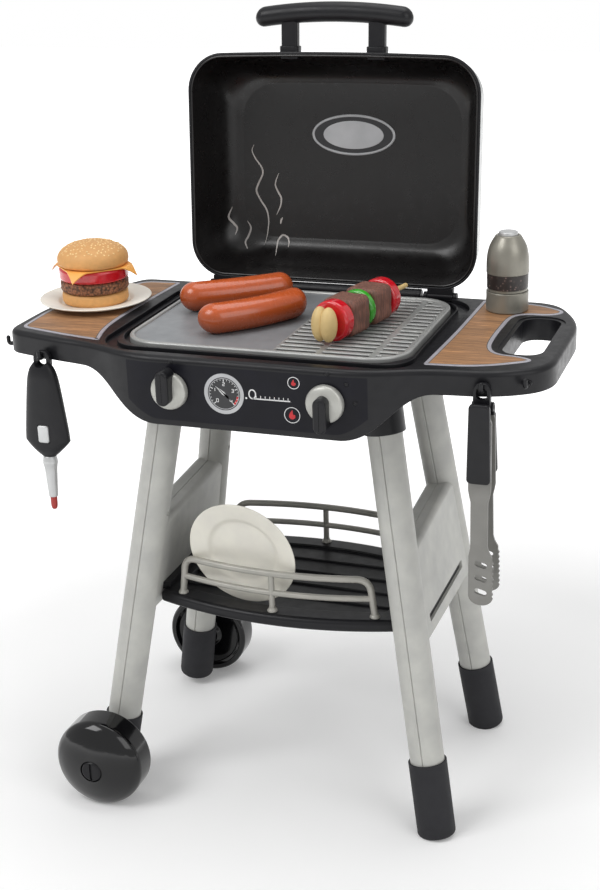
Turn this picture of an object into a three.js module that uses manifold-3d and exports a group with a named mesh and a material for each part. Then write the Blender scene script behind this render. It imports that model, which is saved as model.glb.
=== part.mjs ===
// Toy barbecue grill with its lid open, in millimetres.
// X runs to the handle end, the front faces -Y and Z is up from the floor.
import * as THREE from 'three';
import { mergeVertices } from 'three/addons/utils/BufferGeometryUtils.js';
import Module from 'manifold-3d';

const wasm = await Module();
wasm.setup();

const degrees = THREE.MathUtils.degToRad;
const HALF = 1 / 2;

// Clearance between pieces, the overrun of every cut, and the weld distance of vertices.
const GAP = 0.3;
const OVER = 2;
const WELD = 0.0001;

// Where the middle of the body stands, so that the whole part is centred with its lid open.
const STAND = { x: 4.8, y: -12.3 };

// Facets round a circle, along a corner and along a rounded edge.
const SIDES = { large: 24, round: 14, small: 10, pin: 6 };
const CORNER_STEPS = 3;
const EDGE_STEPS = 1;
const CURVE_STEPS = 6;

// The most of a side that one rounded corner may take.
const CORNER_MOST_SHARE = 0.48;

// Legs lean in towards the top; both legs of a side lie in one leaning plane.
const LEG = {
  lean: degrees(9.02), foot: 167.7, frontFoot: -107.9, backFoot: 101.8,
  span: 385.3, frontTop: -62.2, backTop: 75.6,
  start: 5.6, end: 430, radius: 16.2, wall: 2.5,
};
const WEB = {
  half: 13.5, edge: 6, corner: 18, frontBottom: 183, backBottom: 180, frontHeight: 94, backHeight: 108,
  screw: 2.4, screwDepth: 1.6, screwAbove: 12,
};
const SLOT = { middle: 199.3, height: 8, front: -62.2, back: 61.6 };
const SLEEVE = { wall: 1.7, floor: 6, length: 74, edge: 4, lift: 11 };

const WHEEL = {
  radius: 45, width: 30, dome: 13, height: 45, front: -128, back: 124, rim: 4, dish: 3.5, dishRim: 6,
  hub: 12, axle: 3, head: 10.5, headDepth: 3, slot: 2.4, slotDepth: 1.6, tail: 30,
};

// Table: outline rows are x, y and the length that the corner takes.
const TABLE = { top: 460, deck: 3, wall: 3, edge: 5, skirt: 438, belly: 396, apron: 8 };
const TABLE_OUTLINE = [
  [-110, -131, 24], [110, -131, 24], [160, -110.5, 30], [216, -107, 28], [259.5, -79, 26], [259.5, 62, 34],
  [229, 120.5, 24], [-205, 120.5, 12], [-243, 44, 40], [-255, -6, 30], [-255, -86, 16], [-201, -101, 30],
  [-158, -109, 26],
];
const BELLY = { outer: 165, outerPull: 32, inner: 85, innerPull: 38 };
const SOCKET = { wall: 3, bottom: 382, roof: 442 };
const GRIP_HOLE = { left: 207, right: 243, front: -47, back: 66, corner: 15, wall: 3, lip: 4, lipDepth: 1.2 };
const DIAL_MARK = { radius: 2, height: 1.2, below: 4, around: [degrees(4), degrees(44), degrees(86)] };

// Cooking plate and the well that it drops into.
const PLATE = {
  half: 134, front: -99, back: 102.6, corner: 35, top: 462.2, seat: 452, rim: 5, rimEdge: 2, floor: 460.6, skin: 5.6,
  griddleEnd: 15, ribs: [55, 104], rib: 6, bars: 17, barShare: 0.5, border: 7,
};
const WELL = { ledge: 7, wall: 2.5, floor: 3, depth: 8.5, step: 5, stepDepth: 4 };
const GROOVE = { slack: 2.4, width: 10.6, depth: 4 };

// Inlays: printed wood sheets in shallow pockets.
const INLAY = { thickness: 1, pocket: 0.8 };
const LEFT_INLAY = [
  [-245, -76, 9], [-196, -90, 30], [-153, -98, 4], [-164, -60, 24], [-166, -10, 30], [-160.5, 109.5, 5],
  [-199, 105.5, 10], [-235, 40, 30], [-247, -16, 22],
];
const RIGHT_INLAY = [
  [152, -97.5, 4], [199, -94, 30], [243, -66, 14], [228, -56, 10], [206, -54, 12], [196, -36, 20], [194, 0, 20],
  [195, 60, 16], [204, 73, 14], [232, 74, 12], [242, 90, 12], [214, 108, 14], [157, 112, 5], [156, 0, 30],
];

// Lid, drawn closed and turned open about its hinge.
const LID = {
  half: 148.6, front: -112.3, back: 109, rim: 457, bow: 3, corner: 36, depth: 69, crown: 2,
  shell: 2.2, liner: 1.6, play: 0.5, open: degrees(94.2),
};
// Rows are the inset and the height of the lid wall, both as shares of the depth.
const LID_WALL_SHARES = [
  [0, 0], [0.035, 0.25], [0.07, 0.5], [0.125, 0.68], [0.22, 0.84], [0.34, 0.95], [0.48, 1], [0.95, 1],
];
const HINGE = { y: 116.2, z: 460.2, pin: 2, barrel: 4, lugStart: 100, lugEnd: 126, ear: 3.7, earWall: 0.3 };
const HANDLE = {
  half: 79, radius: 9.5, reach: 37, above: 11, post: 44, postHalf: 8.2, postThick: 11, postEdge: 3,
  collar: 1.6, collarLength: 5,
};

// Knobs and what turns behind the panel.
const KNOB = {
  left: -69, right: 75.5, drop: 30, radius: 17, rim: 3, dome: 9.8, shaft: 4, tail: 20,
  lever: 22, leverHalf: 6, leverEdge: 2.5, leverFoot: 3.3, leverTop: 20, leverBack: 9.5,
};
const KNOB_HEIGHT = TABLE.top - KNOB.drop;
const KNOB_DOME_SHARES = [[1, 0], [0.98, 0.35], [0.88, 0.62], [0.6, 0.88], [0.3, 0.97], [0, 1]];
const CLICK = { radius: 12, tooth: 1.6, teeth: 12, width: 4, behind: 3, tongueThick: 1, tongueFoot: 8, tongueHalf: 3 };

// Hooks, each at its own height on the skirt.
const HOOK = { wire: 2, reach: 12, tip: 8, bend: 3.5, flange: 3.4, flangeDepth: 1.4, peg: 1.6, pegTail: 7 };
const LEFT_HOOK = { x: -209, z: 441.5 };
const RIGHT_HOOK = { x: 207, z: 446.5 };
const SMALL_HOOK = { x: 241, z: 448 };
const END_HOOK = { y: -64, z: 442, drop: 4, tip: 4.5 };

// Lower shelf with its rails.
const SHELF = {
  half: 121.6, endReach: 71, bow: 21, top: 198, thickness: 12, floor: 9, edge: 4.5, band: 22, endBand: 16,
  grooves: 5, ribHalf: 1.4, rib: 2.2, tabReach: 147, tabStart: 114,
};
const RAIL = {
  wire: 3.3, lower: 2.9, half: 97.5, lean: 4.6, endReach: 68.4, bow: 13.8, top: 237, middle: 217, bend: 14, foot: 5, footDepth: 2,
};

// Plates.
const DISH = { radius: 55, height: 7.4, well: 33, wellDepth: 4.2, foot: 36, skin: 2.4, step: 2.4 };
const TOP_DISH = { x: -212, y: 17 };
const LOW_DISH = { x: -31, y: -57, lean: degrees(10), turn: degrees(-4) };

// Food.
const BURGER = {
  bunBottom: 32.4, bunBottomHeight: 12, patty: 33.6, pattyHeight: 11.4, tomato: 34.1, tomatoHeight: 12,
  cheese: 33, cheeseThick: 1, cheeseDrop: 9, bunTop: 34.8, bunTopHeight: 22.4, edge: 3.5,
};
const SAUSAGE = { radius: 14.2, length: 85, sag: 5, steps: 10 };
const REAR_SAUSAGE = { x: -69.1, y: 37.1, turn: degrees(38) };
const FRONT_SAUSAGE = { x: -28.6, y: -22.2, turn: degrees(51.8) };
const SAUSAGES = [
  { name: 'sausage_rear', place: REAR_SAUSAGE, sagShare: 0.5 },
  { name: 'sausage_front', place: FRONT_SAUSAGE, sagShare: 1 },
];
const KEBAB = {
  x: 56, y: -57, turn: degrees(76.8), stick: 2.3, slice: 18.8, sliceWidth: 13, cube: 17, cubeLength: 31,
  pepper: 17.8, pepperWidth: 9, cream: 9, creamSide: 7.5, creamTall: 16, stickStart: 22, stickEnd: 164, edge: 3.5,
};
const MILL = {
  x: 185.5, y: 85.6, radius: 20, base: 19, band: 12.5, dome: 53, button: 9, buttonHeight: 4.5, edge: 1.5, wall: 2.4,
  travel: 2,
};

// Tools on the hooks.
const LIGHTER = {
  top: 437, thick: 16, forward: 3.2, edge: 3.5, loopHalf: 8.5, loopTop: 448, loopThick: 6, holeHalf: 5, holeTop: 443.8, holeBottom: 434,
  widest: 362, bottom: 346, barrelEnd: 304, barrel: 6, barrelTip: 4.3, collar: 1.4, flame: 3.2, flameEnd: 290.7, rod: 2,
};
// Rows are the half width as a share of the widest and the height as a share of the body.
const LIGHTER_BODY_SHARES = [[0.32, 0], [0.55, 0.05], [0.95, 0.15], [1, 0.2], [0.93, 0.38], [0.68, 0.78], [0.52, 0.93], [0.36, 1]];
const LIGHTER_HALF = 22.5;
const TRIGGER = { half: 5.5, above: 15, height: 17, depth: 9, proud: 1.6, travel: 3, edge: 1 };
const TRIGGER_BOTTOM = LIGHTER.bottom + TRIGGER.above;
const TRIGGER_TOP = TRIGGER_BOTTOM + TRIGGER.height;
const TONGS = {
  loopHalf: 7.5, loopTop: 452.6, loopThick: 6, holeHalf: 4.2, holeTop: 448.8, holeBottom: 439, pivot: 431, barrel: 4,
  pin: 2, knuckle: 5, earWidth: 4, arm: 2.6, armHalf: 7.5, bladeLeft: 9, bladeRight: 13, armEnd: 250, bladeTop: 304,
  gripTop: 424, frontGripTop: 437, gripEnd: 366, gripHalf: 10.5, gripTaper: 1.5, gripThick: 6, gripEdge: 2,
  open: degrees(5), spread: 4.2,
  slot: 2.6, slotReach: 5.6, slotAside: 2, slotPitch: 13, slots: 3, slotLean: degrees(15), tooth: 1.3, teeth: 7,
};

const LOOKS = {
  frame: { color: 0xbbbdb8, roughness: 0.5, metalness: 0 },
  sleeve: { color: 0x3a3a3d, roughness: 0.7, metalness: 0 },
  black: { color: 0x202022, roughness: 0.4, metalness: 0 },
  gloss: { color: 0x161618, roughness: 0.15, metalness: 0 },
  steel: { color: 0xb4b6b6, roughness: 0.35, metalness: 0.6 },
  lid: { color: 0xc3c5c4, roughness: 0.35, metalness: 0.3 },
  rail: { color: 0xb9b5a9, roughness: 0.45, metalness: 0.1 },
  wood: { color: 0xb98452, roughness: 0.6, metalness: 0 },
  dish: { color: 0xe0ded4, roughness: 0.4, metalness: 0 },
  bun: { color: 0xe2b073, roughness: 0.7, metalness: 0 },
  patty: { color: 0x8c5f46, roughness: 0.9, metalness: 0 },
  tomato: { color: 0xd71e2d, roughness: 0.3, metalness: 0 },
  cheese: { color: 0xf5af55, roughness: 0.5, metalness: 0 },
  sausage: { color: 0xbe5f37, roughness: 0.35, metalness: 0 },
  meat: { color: 0x7d5a50, roughness: 0.7, metalness: 0 },
  pepper: { color: 0x46aa32, roughness: 0.35, metalness: 0 },
  cream: { color: 0xdcc38c, roughness: 0.6, metalness: 0 },
  mill: { color: 0xa5a296, roughness: 0.4, metalness: 0.2 },
  flame: { color: 0x9c2b28, roughness: 0.4, metalness: 0 },
};

// Merges the shared vertices of a closed geometry and drops its empty triangles.
function sealed(geometry) {
  geometry.deleteAttribute('normal');
  geometry.deleteAttribute('uv');
  const welded = mergeVertices(geometry, WELD);
  const corners = welded.index.array;
  const triangles = [];
  for (let i = 0; i < corners.length; i += 3) {
    const [a, b, c] = [corners[i], corners[i + 1], corners[i + 2]];
    if (a !== b && b !== c && c !== a) triangles.push(a, b, c);
  }
  return welded.setIndex(triangles);
}

function solidOf(geometry) {
  return new wasm.Manifold(new wasm.Mesh({
    numProp: 3,
    vertProperties: Float32Array.from(geometry.attributes.position.array),
    triVerts: Uint32Array.from(geometry.index.array),
  }));
}

function geometryOf(solid) {
  const mesh = solid.getMesh();
  const geometry = new THREE.BufferGeometry();
  geometry.setAttribute('position', new THREE.BufferAttribute(Float32Array.from(mesh.vertProperties), 3));
  geometry.setIndex(Array.from(mesh.triVerts));
  geometry.computeVertexNormals();
  return geometry;
}

const joined = (...parts) => geometryOf(parts.map(solidOf).reduce((a, b) => a.add(b)));
const cut = (base, ...tools) => geometryOf(tools.map(solidOf).reduce((a, b) => a.subtract(b), solidOf(base)));
const common = (a, b) => geometryOf(solidOf(a).intersect(solidOf(b)));

// Swaps left and right, and turns the faces outward again.
function mirrored(geometry) {
  const copy = geometry.clone().scale(-1, 1, 1);
  const corners = copy.index.array;
  for (let i = 0; i < corners.length; i += 3) {
    [corners[i + 1], corners[i + 2]] = [corners[i + 2], corners[i + 1]];
  }
  return copy;
}

function block([x0, x1], [y0, y1], [z0, z1]) {
  const box = sealed(new THREE.BoxGeometry(x1 - x0, y1 - y0, z1 - z0));
  return box.translate((x0 + x1) / 2, (y0 + y1) / 2, (z0 + z1) / 2);
}

// Extrudes an outline upward from one height to another, with rounded edges where edge isn't 0.
function slab(outline, from, to, edge = 0) {
  const settings = {
    depth: to - from - 2 * edge, steps: 1, bevelEnabled: edge > 0,
    bevelSize: edge, bevelThickness: edge, bevelOffset: -edge, bevelSegments: EDGE_STEPS,
  };
  return sealed(new THREE.ExtrudeGeometry(new THREE.Shape(outline), settings)).translate(0, 0, from + edge);
}

// The same for an outline in X and Z, extruded from front to back.
function slabAlongY(outline, from, to, edge = 0) {
  return slab(outline, -to, -from, edge).rotateX(Math.PI / 2);
}

// The same for an outline in Y and Z, extruded from left to right.
function slabAlongX(outline, from, to, edge = 0) {
  return slab(outline, from, to, edge).rotateX(Math.PI / 2).rotateZ(Math.PI / 2);
}

// Turns a profile of radius and height rows about the Z axis.
function turned(profile, sides = SIDES.round) {
  const points = profile.map(([radius, height]) => new THREE.Vector2(radius, height));
  return sealed(new THREE.LatheGeometry(points, sides)).rotateX(Math.PI / 2);
}

// Stands a shape that is drawn about the Y axis at one point, aimed at another.
function aimed(geometry, from, to) {
  const along = new THREE.Vector3(...to).sub(new THREE.Vector3(...from)).normalize();
  const turn = new THREE.Quaternion().setFromUnitVectors(new THREE.Vector3(0, 1, 0), along);
  return geometry.applyQuaternion(turn).translate(...from);
}

function rod(radius, from, to, sides = SIDES.small, tipRadius = radius) {
  const length = new THREE.Vector3(...from).distanceTo(new THREE.Vector3(...to));
  const geometry = sealed(new THREE.CylinderGeometry(tipRadius, radius, length, sides));
  return aimed(geometry.translate(0, length / 2, 0), from, to);
}

// A route that runs straight from point to point.
class Route extends THREE.Curve {
  constructor(points) {
    super();
    this.points = points;
  }

  getPoint(t) {
    const last = this.points.length - 1;
    const index = Math.min(Math.floor(t * last), last - 1);
    return this.points[index].clone().lerp(this.points[index + 1], t * last - index);
  }

  getPointAt(u) {
    return this.getPoint(u);
  }

  getTangentAt(u) {
    return this.getTangent(u);
  }
}

function wire(points, radius, sides = SIDES.pin) {
  const settings = { steps: points.length - 1, extrudePath: new Route(points) };
  return sealed(new THREE.ExtrudeGeometry(new THREE.Shape(circle(radius, sides)), settings));
}

// An open route whose inner corners are rounded.
function bentRoute(rows, bend, steps = CORNER_STEPS) {
  const corners = rows.map((row) => new THREE.Vector3(...row));
  return corners.flatMap((corner, i) => {
    if (i === 0 || i === corners.length - 1) return [corner];
    const start = corner.clone().lerp(corners[i - 1], bend / corner.distanceTo(corners[i - 1]));
    const end = corner.clone().lerp(corners[i + 1], bend / corner.distanceTo(corners[i + 1]));
    return new THREE.QuadraticBezierCurve3(start, corner, end).getPoints(steps);
  });
}

function circle(radius, sides, x = 0, y = 0) {
  const turn = (2 * Math.PI) / sides;
  return Array.from({ length: sides }, (_, i) => (
    new THREE.Vector2(x + radius * Math.cos(i * turn), y + radius * Math.sin(i * turn))
  ));
}

// A closed outline with each corner rounded over the length in its row.
function softOutline(rows, steps = CORNER_STEPS) {
  const corners = rows.map(([x, y]) => new THREE.Vector2(x, y));
  const most = CORNER_MOST_SHARE;
  return corners.flatMap((corner, i) => {
    const before = corners.at(i - 1);
    const after = corners[(i + 1) % corners.length];
    const start = corner.clone().lerp(before, Math.min(rows[i][2] / corner.distanceTo(before), most));
    const end = corner.clone().lerp(after, Math.min(rows[i][2] / corner.distanceTo(after), most));
    return new THREE.QuadraticBezierCurve(start, corner, end).getPoints(steps);
  });
}

function roundedRect([x0, x1], [y0, y1], radius, steps = CORNER_STEPS) {
  const centres = [[x1 - radius, y1 - radius], [x0 + radius, y1 - radius], [x0 + radius, y0 + radius], [x1 - radius, y0 + radius]];
  return centres.flatMap(([x, y], quarter) => Array.from({ length: steps + 1 }, (_, i) => {
    const angle = (quarter + i / steps) * Math.PI / 2;
    return new THREE.Vector2(x + radius * Math.cos(angle), y + radius * Math.sin(angle));
  }));
}

// Moves each side of a closed outline inward by a depth.
function inset(outline, depth) {
  return outline.map((point, i) => {
    const a = point.clone().sub(outline.at(i - 1)).normalize();
    const b = outline[(i + 1) % outline.length].clone().sub(point).normalize();
    const inward = new THREE.Vector2(-a.y - b.y, a.x + b.x);
    return point.clone().addScaledVector(inward, depth / (1 + a.dot(b)));
  });
}

// Joins rings of points, lowest first, into one closed body with flat ends.
function lofted(rings) {
  const count = rings[0].length;
  const faces = [];
  for (let ring = 0; ring < rings.length - 1; ring += 1) {
    for (let i = 0; i < count; i += 1) {
      const [a, b] = [ring * count + i, ring * count + (i + 1) % count];
      faces.push(a, b, b + count, a, b + count, a + count);
    }
  }
  const last = (rings.length - 1) * count;
  for (let i = 1; i < count - 1; i += 1) {
    faces.push(0, i + 1, i);
    faces.push(last, last + i, last + i + 1);
  }
  const geometry = new THREE.BufferGeometry().setFromPoints(rings.flat());
  geometry.setIndex(faces);
  return geometry;
}

function piece(name, geometry, look) {
  const mesh = new THREE.Mesh(geometry, new THREE.MeshStandardMaterial(LOOKS[look]));
  mesh.name = name;
  return mesh;
}

function placedGroup(x, y, z, ...children) {
  const group = new THREE.Group();
  group.position.set(x, y, z);
  group.add(...children);
  return group;
}

// The middle of a leg at a length from its foot, in the leaning plane of its side.
function legAt(leg, length) {
  const run = (LEG[`${leg}Top`] - LEG[`${leg}Foot`]) / LEG.span;
  return [0, LEG[`${leg}Foot`] + run * length, length];
}

function leaned(geometry) {
  return geometry.rotateY(-LEG.lean).translate(LEG.foot, 0, 0);
}

function webOutline(shrink) {
  const lengths = { front: WEB.frontBottom, back: WEB.backBottom };
  const corner = (leg, rise) => legAt(leg, lengths[leg] + rise).slice(1);
  const outline = softOutline([
    [...corner('front', 0), 2 * WEB.edge], [...corner('back', 0), 2 * WEB.edge],
    [...corner('back', WEB.backHeight), WEB.corner], [...corner('front', WEB.frontHeight), WEB.corner],
  ]);
  return inset(outline, shrink);
}

function frameForm(shrink, overrun, lift) {
  const [start, end] = [LEG.start + lift - overrun, LEG.end + overrun];
  const legs = ['front', 'back'].map((leg) => (
    rod(LEG.radius - shrink, legAt(leg, start), legAt(leg, end), SIDES.round)
  ));
  const half = WEB.half - shrink;
  return joined(...legs, slabAlongX(webOutline(shrink), -half, half, WEB.edge - shrink));
}

// Both half shells of a side frame at the right, split along the leaning plane; lift shortens its legs.
function sideFrameHalves(lift) {
  const slot = block([0, LEG.foot], [SLOT.front, SLOT.back], [
    SLOT.middle - SLOT.height / 2, SLOT.middle + SLOT.height / 2,
  ]);
  const screws = ['front', 'back'].map((leg) => {
    const [, y, z] = legAt(leg, WEB[`${leg}Bottom`] + WEB[`${leg}Height`] + WEB.screwAbove);
    return rod(WEB.screw, [-LEG.radius - OVER, y, z], [WEB.screwDepth - LEG.radius, y, z], SIDES.pin);
  });
  const shell = cut(frameForm(0, 0, lift), frameForm(LEG.wall, OVER, lift), ...screws);
  const depth = [2 * LEG.frontFoot, 2 * LEG.backFoot];
  const height = [-LEG.end, 2 * LEG.end];
  const outer = common(shell, block([GAP / 2, 2 * LEG.radius], depth, height));
  const inner = common(shell, block([-2 * LEG.radius, -GAP / 2], depth, height));
  return { outer: cut(leaned(outer), slot), inner: cut(leaned(inner), slot) };
}

// A pin hole through both left legs, along Y at the wheel axle.
function axleHole() {
  const x = -axleX();
  return rod(WHEEL.axle + GAP, [x, 2 * LEG.frontFoot, WHEEL.height], [x, 2 * LEG.backFoot, WHEEL.height]);
}

function axleX() {
  return LEG.foot - WHEEL.height * Math.tan(LEG.lean);
}

function sideFrames() {
  const right = sideFrameHalves(0);
  const left = sideFrameHalves(SLEEVE.lift);
  const hole = axleHole();
  return [
    piece('side_frame_right_outer', right.outer, 'frame'),
    piece('side_frame_right_inner', right.inner, 'frame'),
    piece('side_frame_left_outer', cut(mirrored(left.outer), hole), 'frame'),
    piece('side_frame_left_inner', cut(mirrored(left.inner), hole), 'frame'),
  ];
}

// A sleeve over the foot of a leg; a lifted one stops short of the floor.
function footSleeve(leg, lift) {
  const outer = LEG.radius + GAP + SLEEVE.wall;
  const floor = LEG.start + lift - GAP;
  const bottom = floor - SLEEVE.floor;
  const profile = [
    [0, bottom], [outer - SLEEVE.edge, bottom], [outer - SLEEVE.edge / 3, bottom + SLEEVE.edge / 3],
    [outer, bottom + SLEEVE.edge], [outer, SLEEVE.length], [LEG.radius + GAP, SLEEVE.length],
    [LEG.radius + GAP, floor], [0, floor],
  ];
  const upright = sealed(new THREE.LatheGeometry(profile.map((row) => new THREE.Vector2(...row)), SIDES.round));
  const sleeve = leaned(aimed(upright, legAt(leg, 0), legAt(leg, LEG.span)));
  const far = 2 * LEG.foot;
  return cut(sleeve, block([-far, far], [-far, far], [-far, 0]));
}

function footSleeves() {
  const hole = axleHole();
  return ['front', 'back'].flatMap((leg) => [
    piece(`foot_sleeve_right_${leg}`, footSleeve(leg, 0), 'sleeve'),
    piece(`foot_sleeve_left_${leg}`, cut(mirrored(footSleeve(leg, SLEEVE.lift)), hole), 'sleeve'),
  ]);
}

// A wheel about the Z axis: its flat side at 0, its dome upward.
function wheelForm() {
  const bore = WHEEL.axle + GAP;
  const face = WHEEL.width + WHEEL.dome;
  const head = WHEEL.head + GAP;
  return turned([
    [bore, 0], [WHEEL.hub, 0], [WHEEL.hub + WHEEL.dish, WHEEL.dish], [WHEEL.radius - WHEEL.dishRim - WHEEL.dish, WHEEL.dish],
    [WHEEL.radius - WHEEL.dishRim, 0], [WHEEL.radius - WHEEL.rim / 2, 0], [WHEEL.radius, WHEEL.rim / 2],
    [WHEEL.radius, WHEEL.width - WHEEL.rim], [WHEEL.radius - WHEEL.rim, WHEEL.width + WHEEL.rim / 3],
    [WHEEL.radius - 3 * WHEEL.rim, WHEEL.width + WHEEL.dome / 2], [WHEEL.radius / 2, face - WHEEL.dome / 5], [head, face],
    [head, face - WHEEL.headDepth], [bore, face - WHEEL.headDepth], [bore, 0],
  ], SIDES.large);
}

// A wheel axle with a slotted head, drawn like its wheel.
function axleForm() {
  const face = WHEEL.width + WHEEL.dome;
  const under = face - WHEEL.headDepth + GAP;
  const pin = turned([
    [0, -WHEEL.tail], [WHEEL.axle, -WHEEL.tail], [WHEEL.axle, under], [WHEEL.head, under],
    [WHEEL.head, face - WHEEL.slotDepth / 2], [WHEEL.head - WHEEL.slotDepth, face + WHEEL.slotDepth / 2],
    [0, face + WHEEL.slotDepth / 2],
  ], SIDES.round);
  const half = WHEEL.slot / 2;
  const reach = WHEEL.head - WHEEL.slotDepth;
  return cut(pin, block([-half, half], [-reach, reach], [face - WHEEL.slotDepth / 2, face + OVER]));
}

function wheels() {
  const make = (name, y, turn) => {
    const group = placedGroup(-axleX(), y, WHEEL.height,
      piece(`wheel_${name}`, wheelForm().rotateX(turn), 'gloss'),
      piece(`wheel_axle_${name}`, axleForm().rotateX(turn), 'gloss'));
    return group;
  };
  return [make('front', WHEEL.front, Math.PI / 2), make('back', WHEEL.back, -Math.PI / 2)];
}

const tableOutline = softOutline(TABLE_OUTLINE);

// The front of the skirt at a distance along the table.
function skirtFront(x) {
  const hits = tableOutline.flatMap((point, i) => {
    const next = tableOutline[(i + 1) % tableOutline.length];
    if ((point.x - x) * (next.x - x) > 0) return [];
    return [THREE.MathUtils.mapLinear(x, point.x, next.x, point.y, next.y)];
  });
  return Math.min(...hits);
}

function skirtLeft(y) {
  const hits = tableOutline.flatMap((point, i) => {
    const next = tableOutline[(i + 1) % tableOutline.length];
    if ((point.y - y) * (next.y - y) > 0) return [];
    return [THREE.MathUtils.mapLinear(y, point.y, next.y, point.x, next.x)];
  });
  return Math.min(...hits);
}

const tableLeft = Math.min(...tableOutline.map((point) => point.x));
const tableRight = Math.max(...tableOutline.map((point) => point.x));
const panelFront = Math.min(...tableOutline.map((point) => point.y));
const tableBack = Math.max(...tableOutline.map((point) => point.y));

// What the skirt shows from the front: shallow at the ends and deep in the middle.
function bellySilhouette() {
  const sweep = new THREE.CubicBezierCurve(
    new THREE.Vector2(BELLY.outer, TABLE.skirt), new THREE.Vector2(BELLY.outer - BELLY.outerPull, TABLE.skirt),
    new THREE.Vector2(BELLY.inner + BELLY.innerPull, TABLE.belly), new THREE.Vector2(BELLY.inner, TABLE.belly),
  ).getPoints(CURVE_STEPS);
  const right = [new THREE.Vector2(tableRight + OVER, TABLE.top + OVER), new THREE.Vector2(tableRight + OVER, TABLE.skirt), ...sweep];
  const left = right.map((point) => new THREE.Vector2(point.x > BELLY.outer ? tableLeft - OVER : -point.x, point.y)).reverse();
  return [...left, ...right].reverse();
}

// The cooking plate's rectangle, grown outward by a distance.
function plateRect(grow) {
  const corner = PLATE.corner + grow;
  return roundedRect([-PLATE.half - grow, PLATE.half + grow], [PLATE.front - grow, PLATE.back + grow], corner);
}

function grooveRect(shrink) {
  const half = LID.half + GROOVE.slack - shrink;
  const front = LID.front - LID.bow - GROOVE.slack + shrink;
  const back = LID.back + GROOVE.slack - shrink;
  return roundedRect([-half, half], [front, back], LID.corner + GROOVE.slack - shrink);
}

function inlayPocket(rows) {
  return slab(inset(softOutline(rows), -GAP), TABLE.top - INLAY.pocket, TABLE.top + OVER);
}

function gripRect(grow) {
  const [x0, x1, y0, y1] = [GRIP_HOLE.left, GRIP_HOLE.right, GRIP_HOLE.front, GRIP_HOLE.back];
  return roundedRect([x0 - grow, x1 + grow], [y0 - grow, y1 + grow], GRIP_HOLE.corner + grow);
}

// Both ears that hold a hinge pin, at the right end of the back edge.
function hingeEars() {
  const radius = HINGE.barrel + HINGE.earWall;
  const profile = roundedRect([HINGE.y - radius, HINGE.y + radius], [TABLE.top - 2 * radius, HINGE.z + radius], radius);
  return [[HINGE.lugStart - HINGE.ear, HINGE.lugStart - GAP], [HINGE.lugEnd + GAP, HINGE.lugEnd + HINGE.ear]]
    .map(([from, to]) => slabAlongX(profile, from, to));
}

function hingeNotch() {
  const reach = HINGE.barrel + HINGE.earWall;
  return block([HINGE.lugStart - GAP, HINGE.lugEnd + GAP], [LID.back - LID.shell, tableBack + OVER], [
    HINGE.z - reach, HINGE.z + reach,
  ]);
}

function hingeBore() {
  const [from, to] = [HINGE.lugStart - 2 * HINGE.ear, HINGE.lugEnd + 2 * HINGE.ear];
  return rod(HINGE.pin + GAP, [from, HINGE.y, HINGE.z], [to, HINGE.y, HINGE.z]);
}

// A tube round the top of each right leg, or the bore inside it.
function legSockets(radius, bottom, top) {
  return ['front', 'back'].map((leg) => {
    const cosine = Math.cos(LEG.lean);
    return leaned(rod(radius, legAt(leg, bottom / cosine), legAt(leg, top / cosine), SIDES.round));
  });
}

function pair(geometry) {
  return [geometry, mirrored(geometry)];
}

// Low round marks on the panel beside the knobs.
function panelMarks() {
  const mark = (knob, angle) => {
    const reach = KNOB.drop - DIAL_MARK.below;
    const [x, z] = [knob + reach * Math.cos(angle), KNOB_HEIGHT + reach * Math.sin(angle)];
    const front = skirtFront(x);
    return rod(DIAL_MARK.radius, [x, front + TABLE.wall / 2, z], [x, front - DIAL_MARK.height, z], SIDES.pin, DIAL_MARK.radius / 2);
  };
  return [mark(KNOB.left, DIAL_MARK.around.at(-1)), ...DIAL_MARK.around.map((angle) => mark(KNOB.right, angle))];
}

// The block that carries the click tongue behind the panel.
function tongueSeat() {
  const back = panelFront + TABLE.wall;
  const far = back + CLICK.behind + CLICK.width;
  const top = KNOB_HEIGHT - CLICK.radius - CLICK.tongueFoot;
  return block([KNOB.right - CLICK.tongueHalf, KNOB.right + CLICK.tongueHalf], [back - TABLE.wall / 2, far], [
    top - CLICK.tongueFoot, top,
  ]);
}

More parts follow.
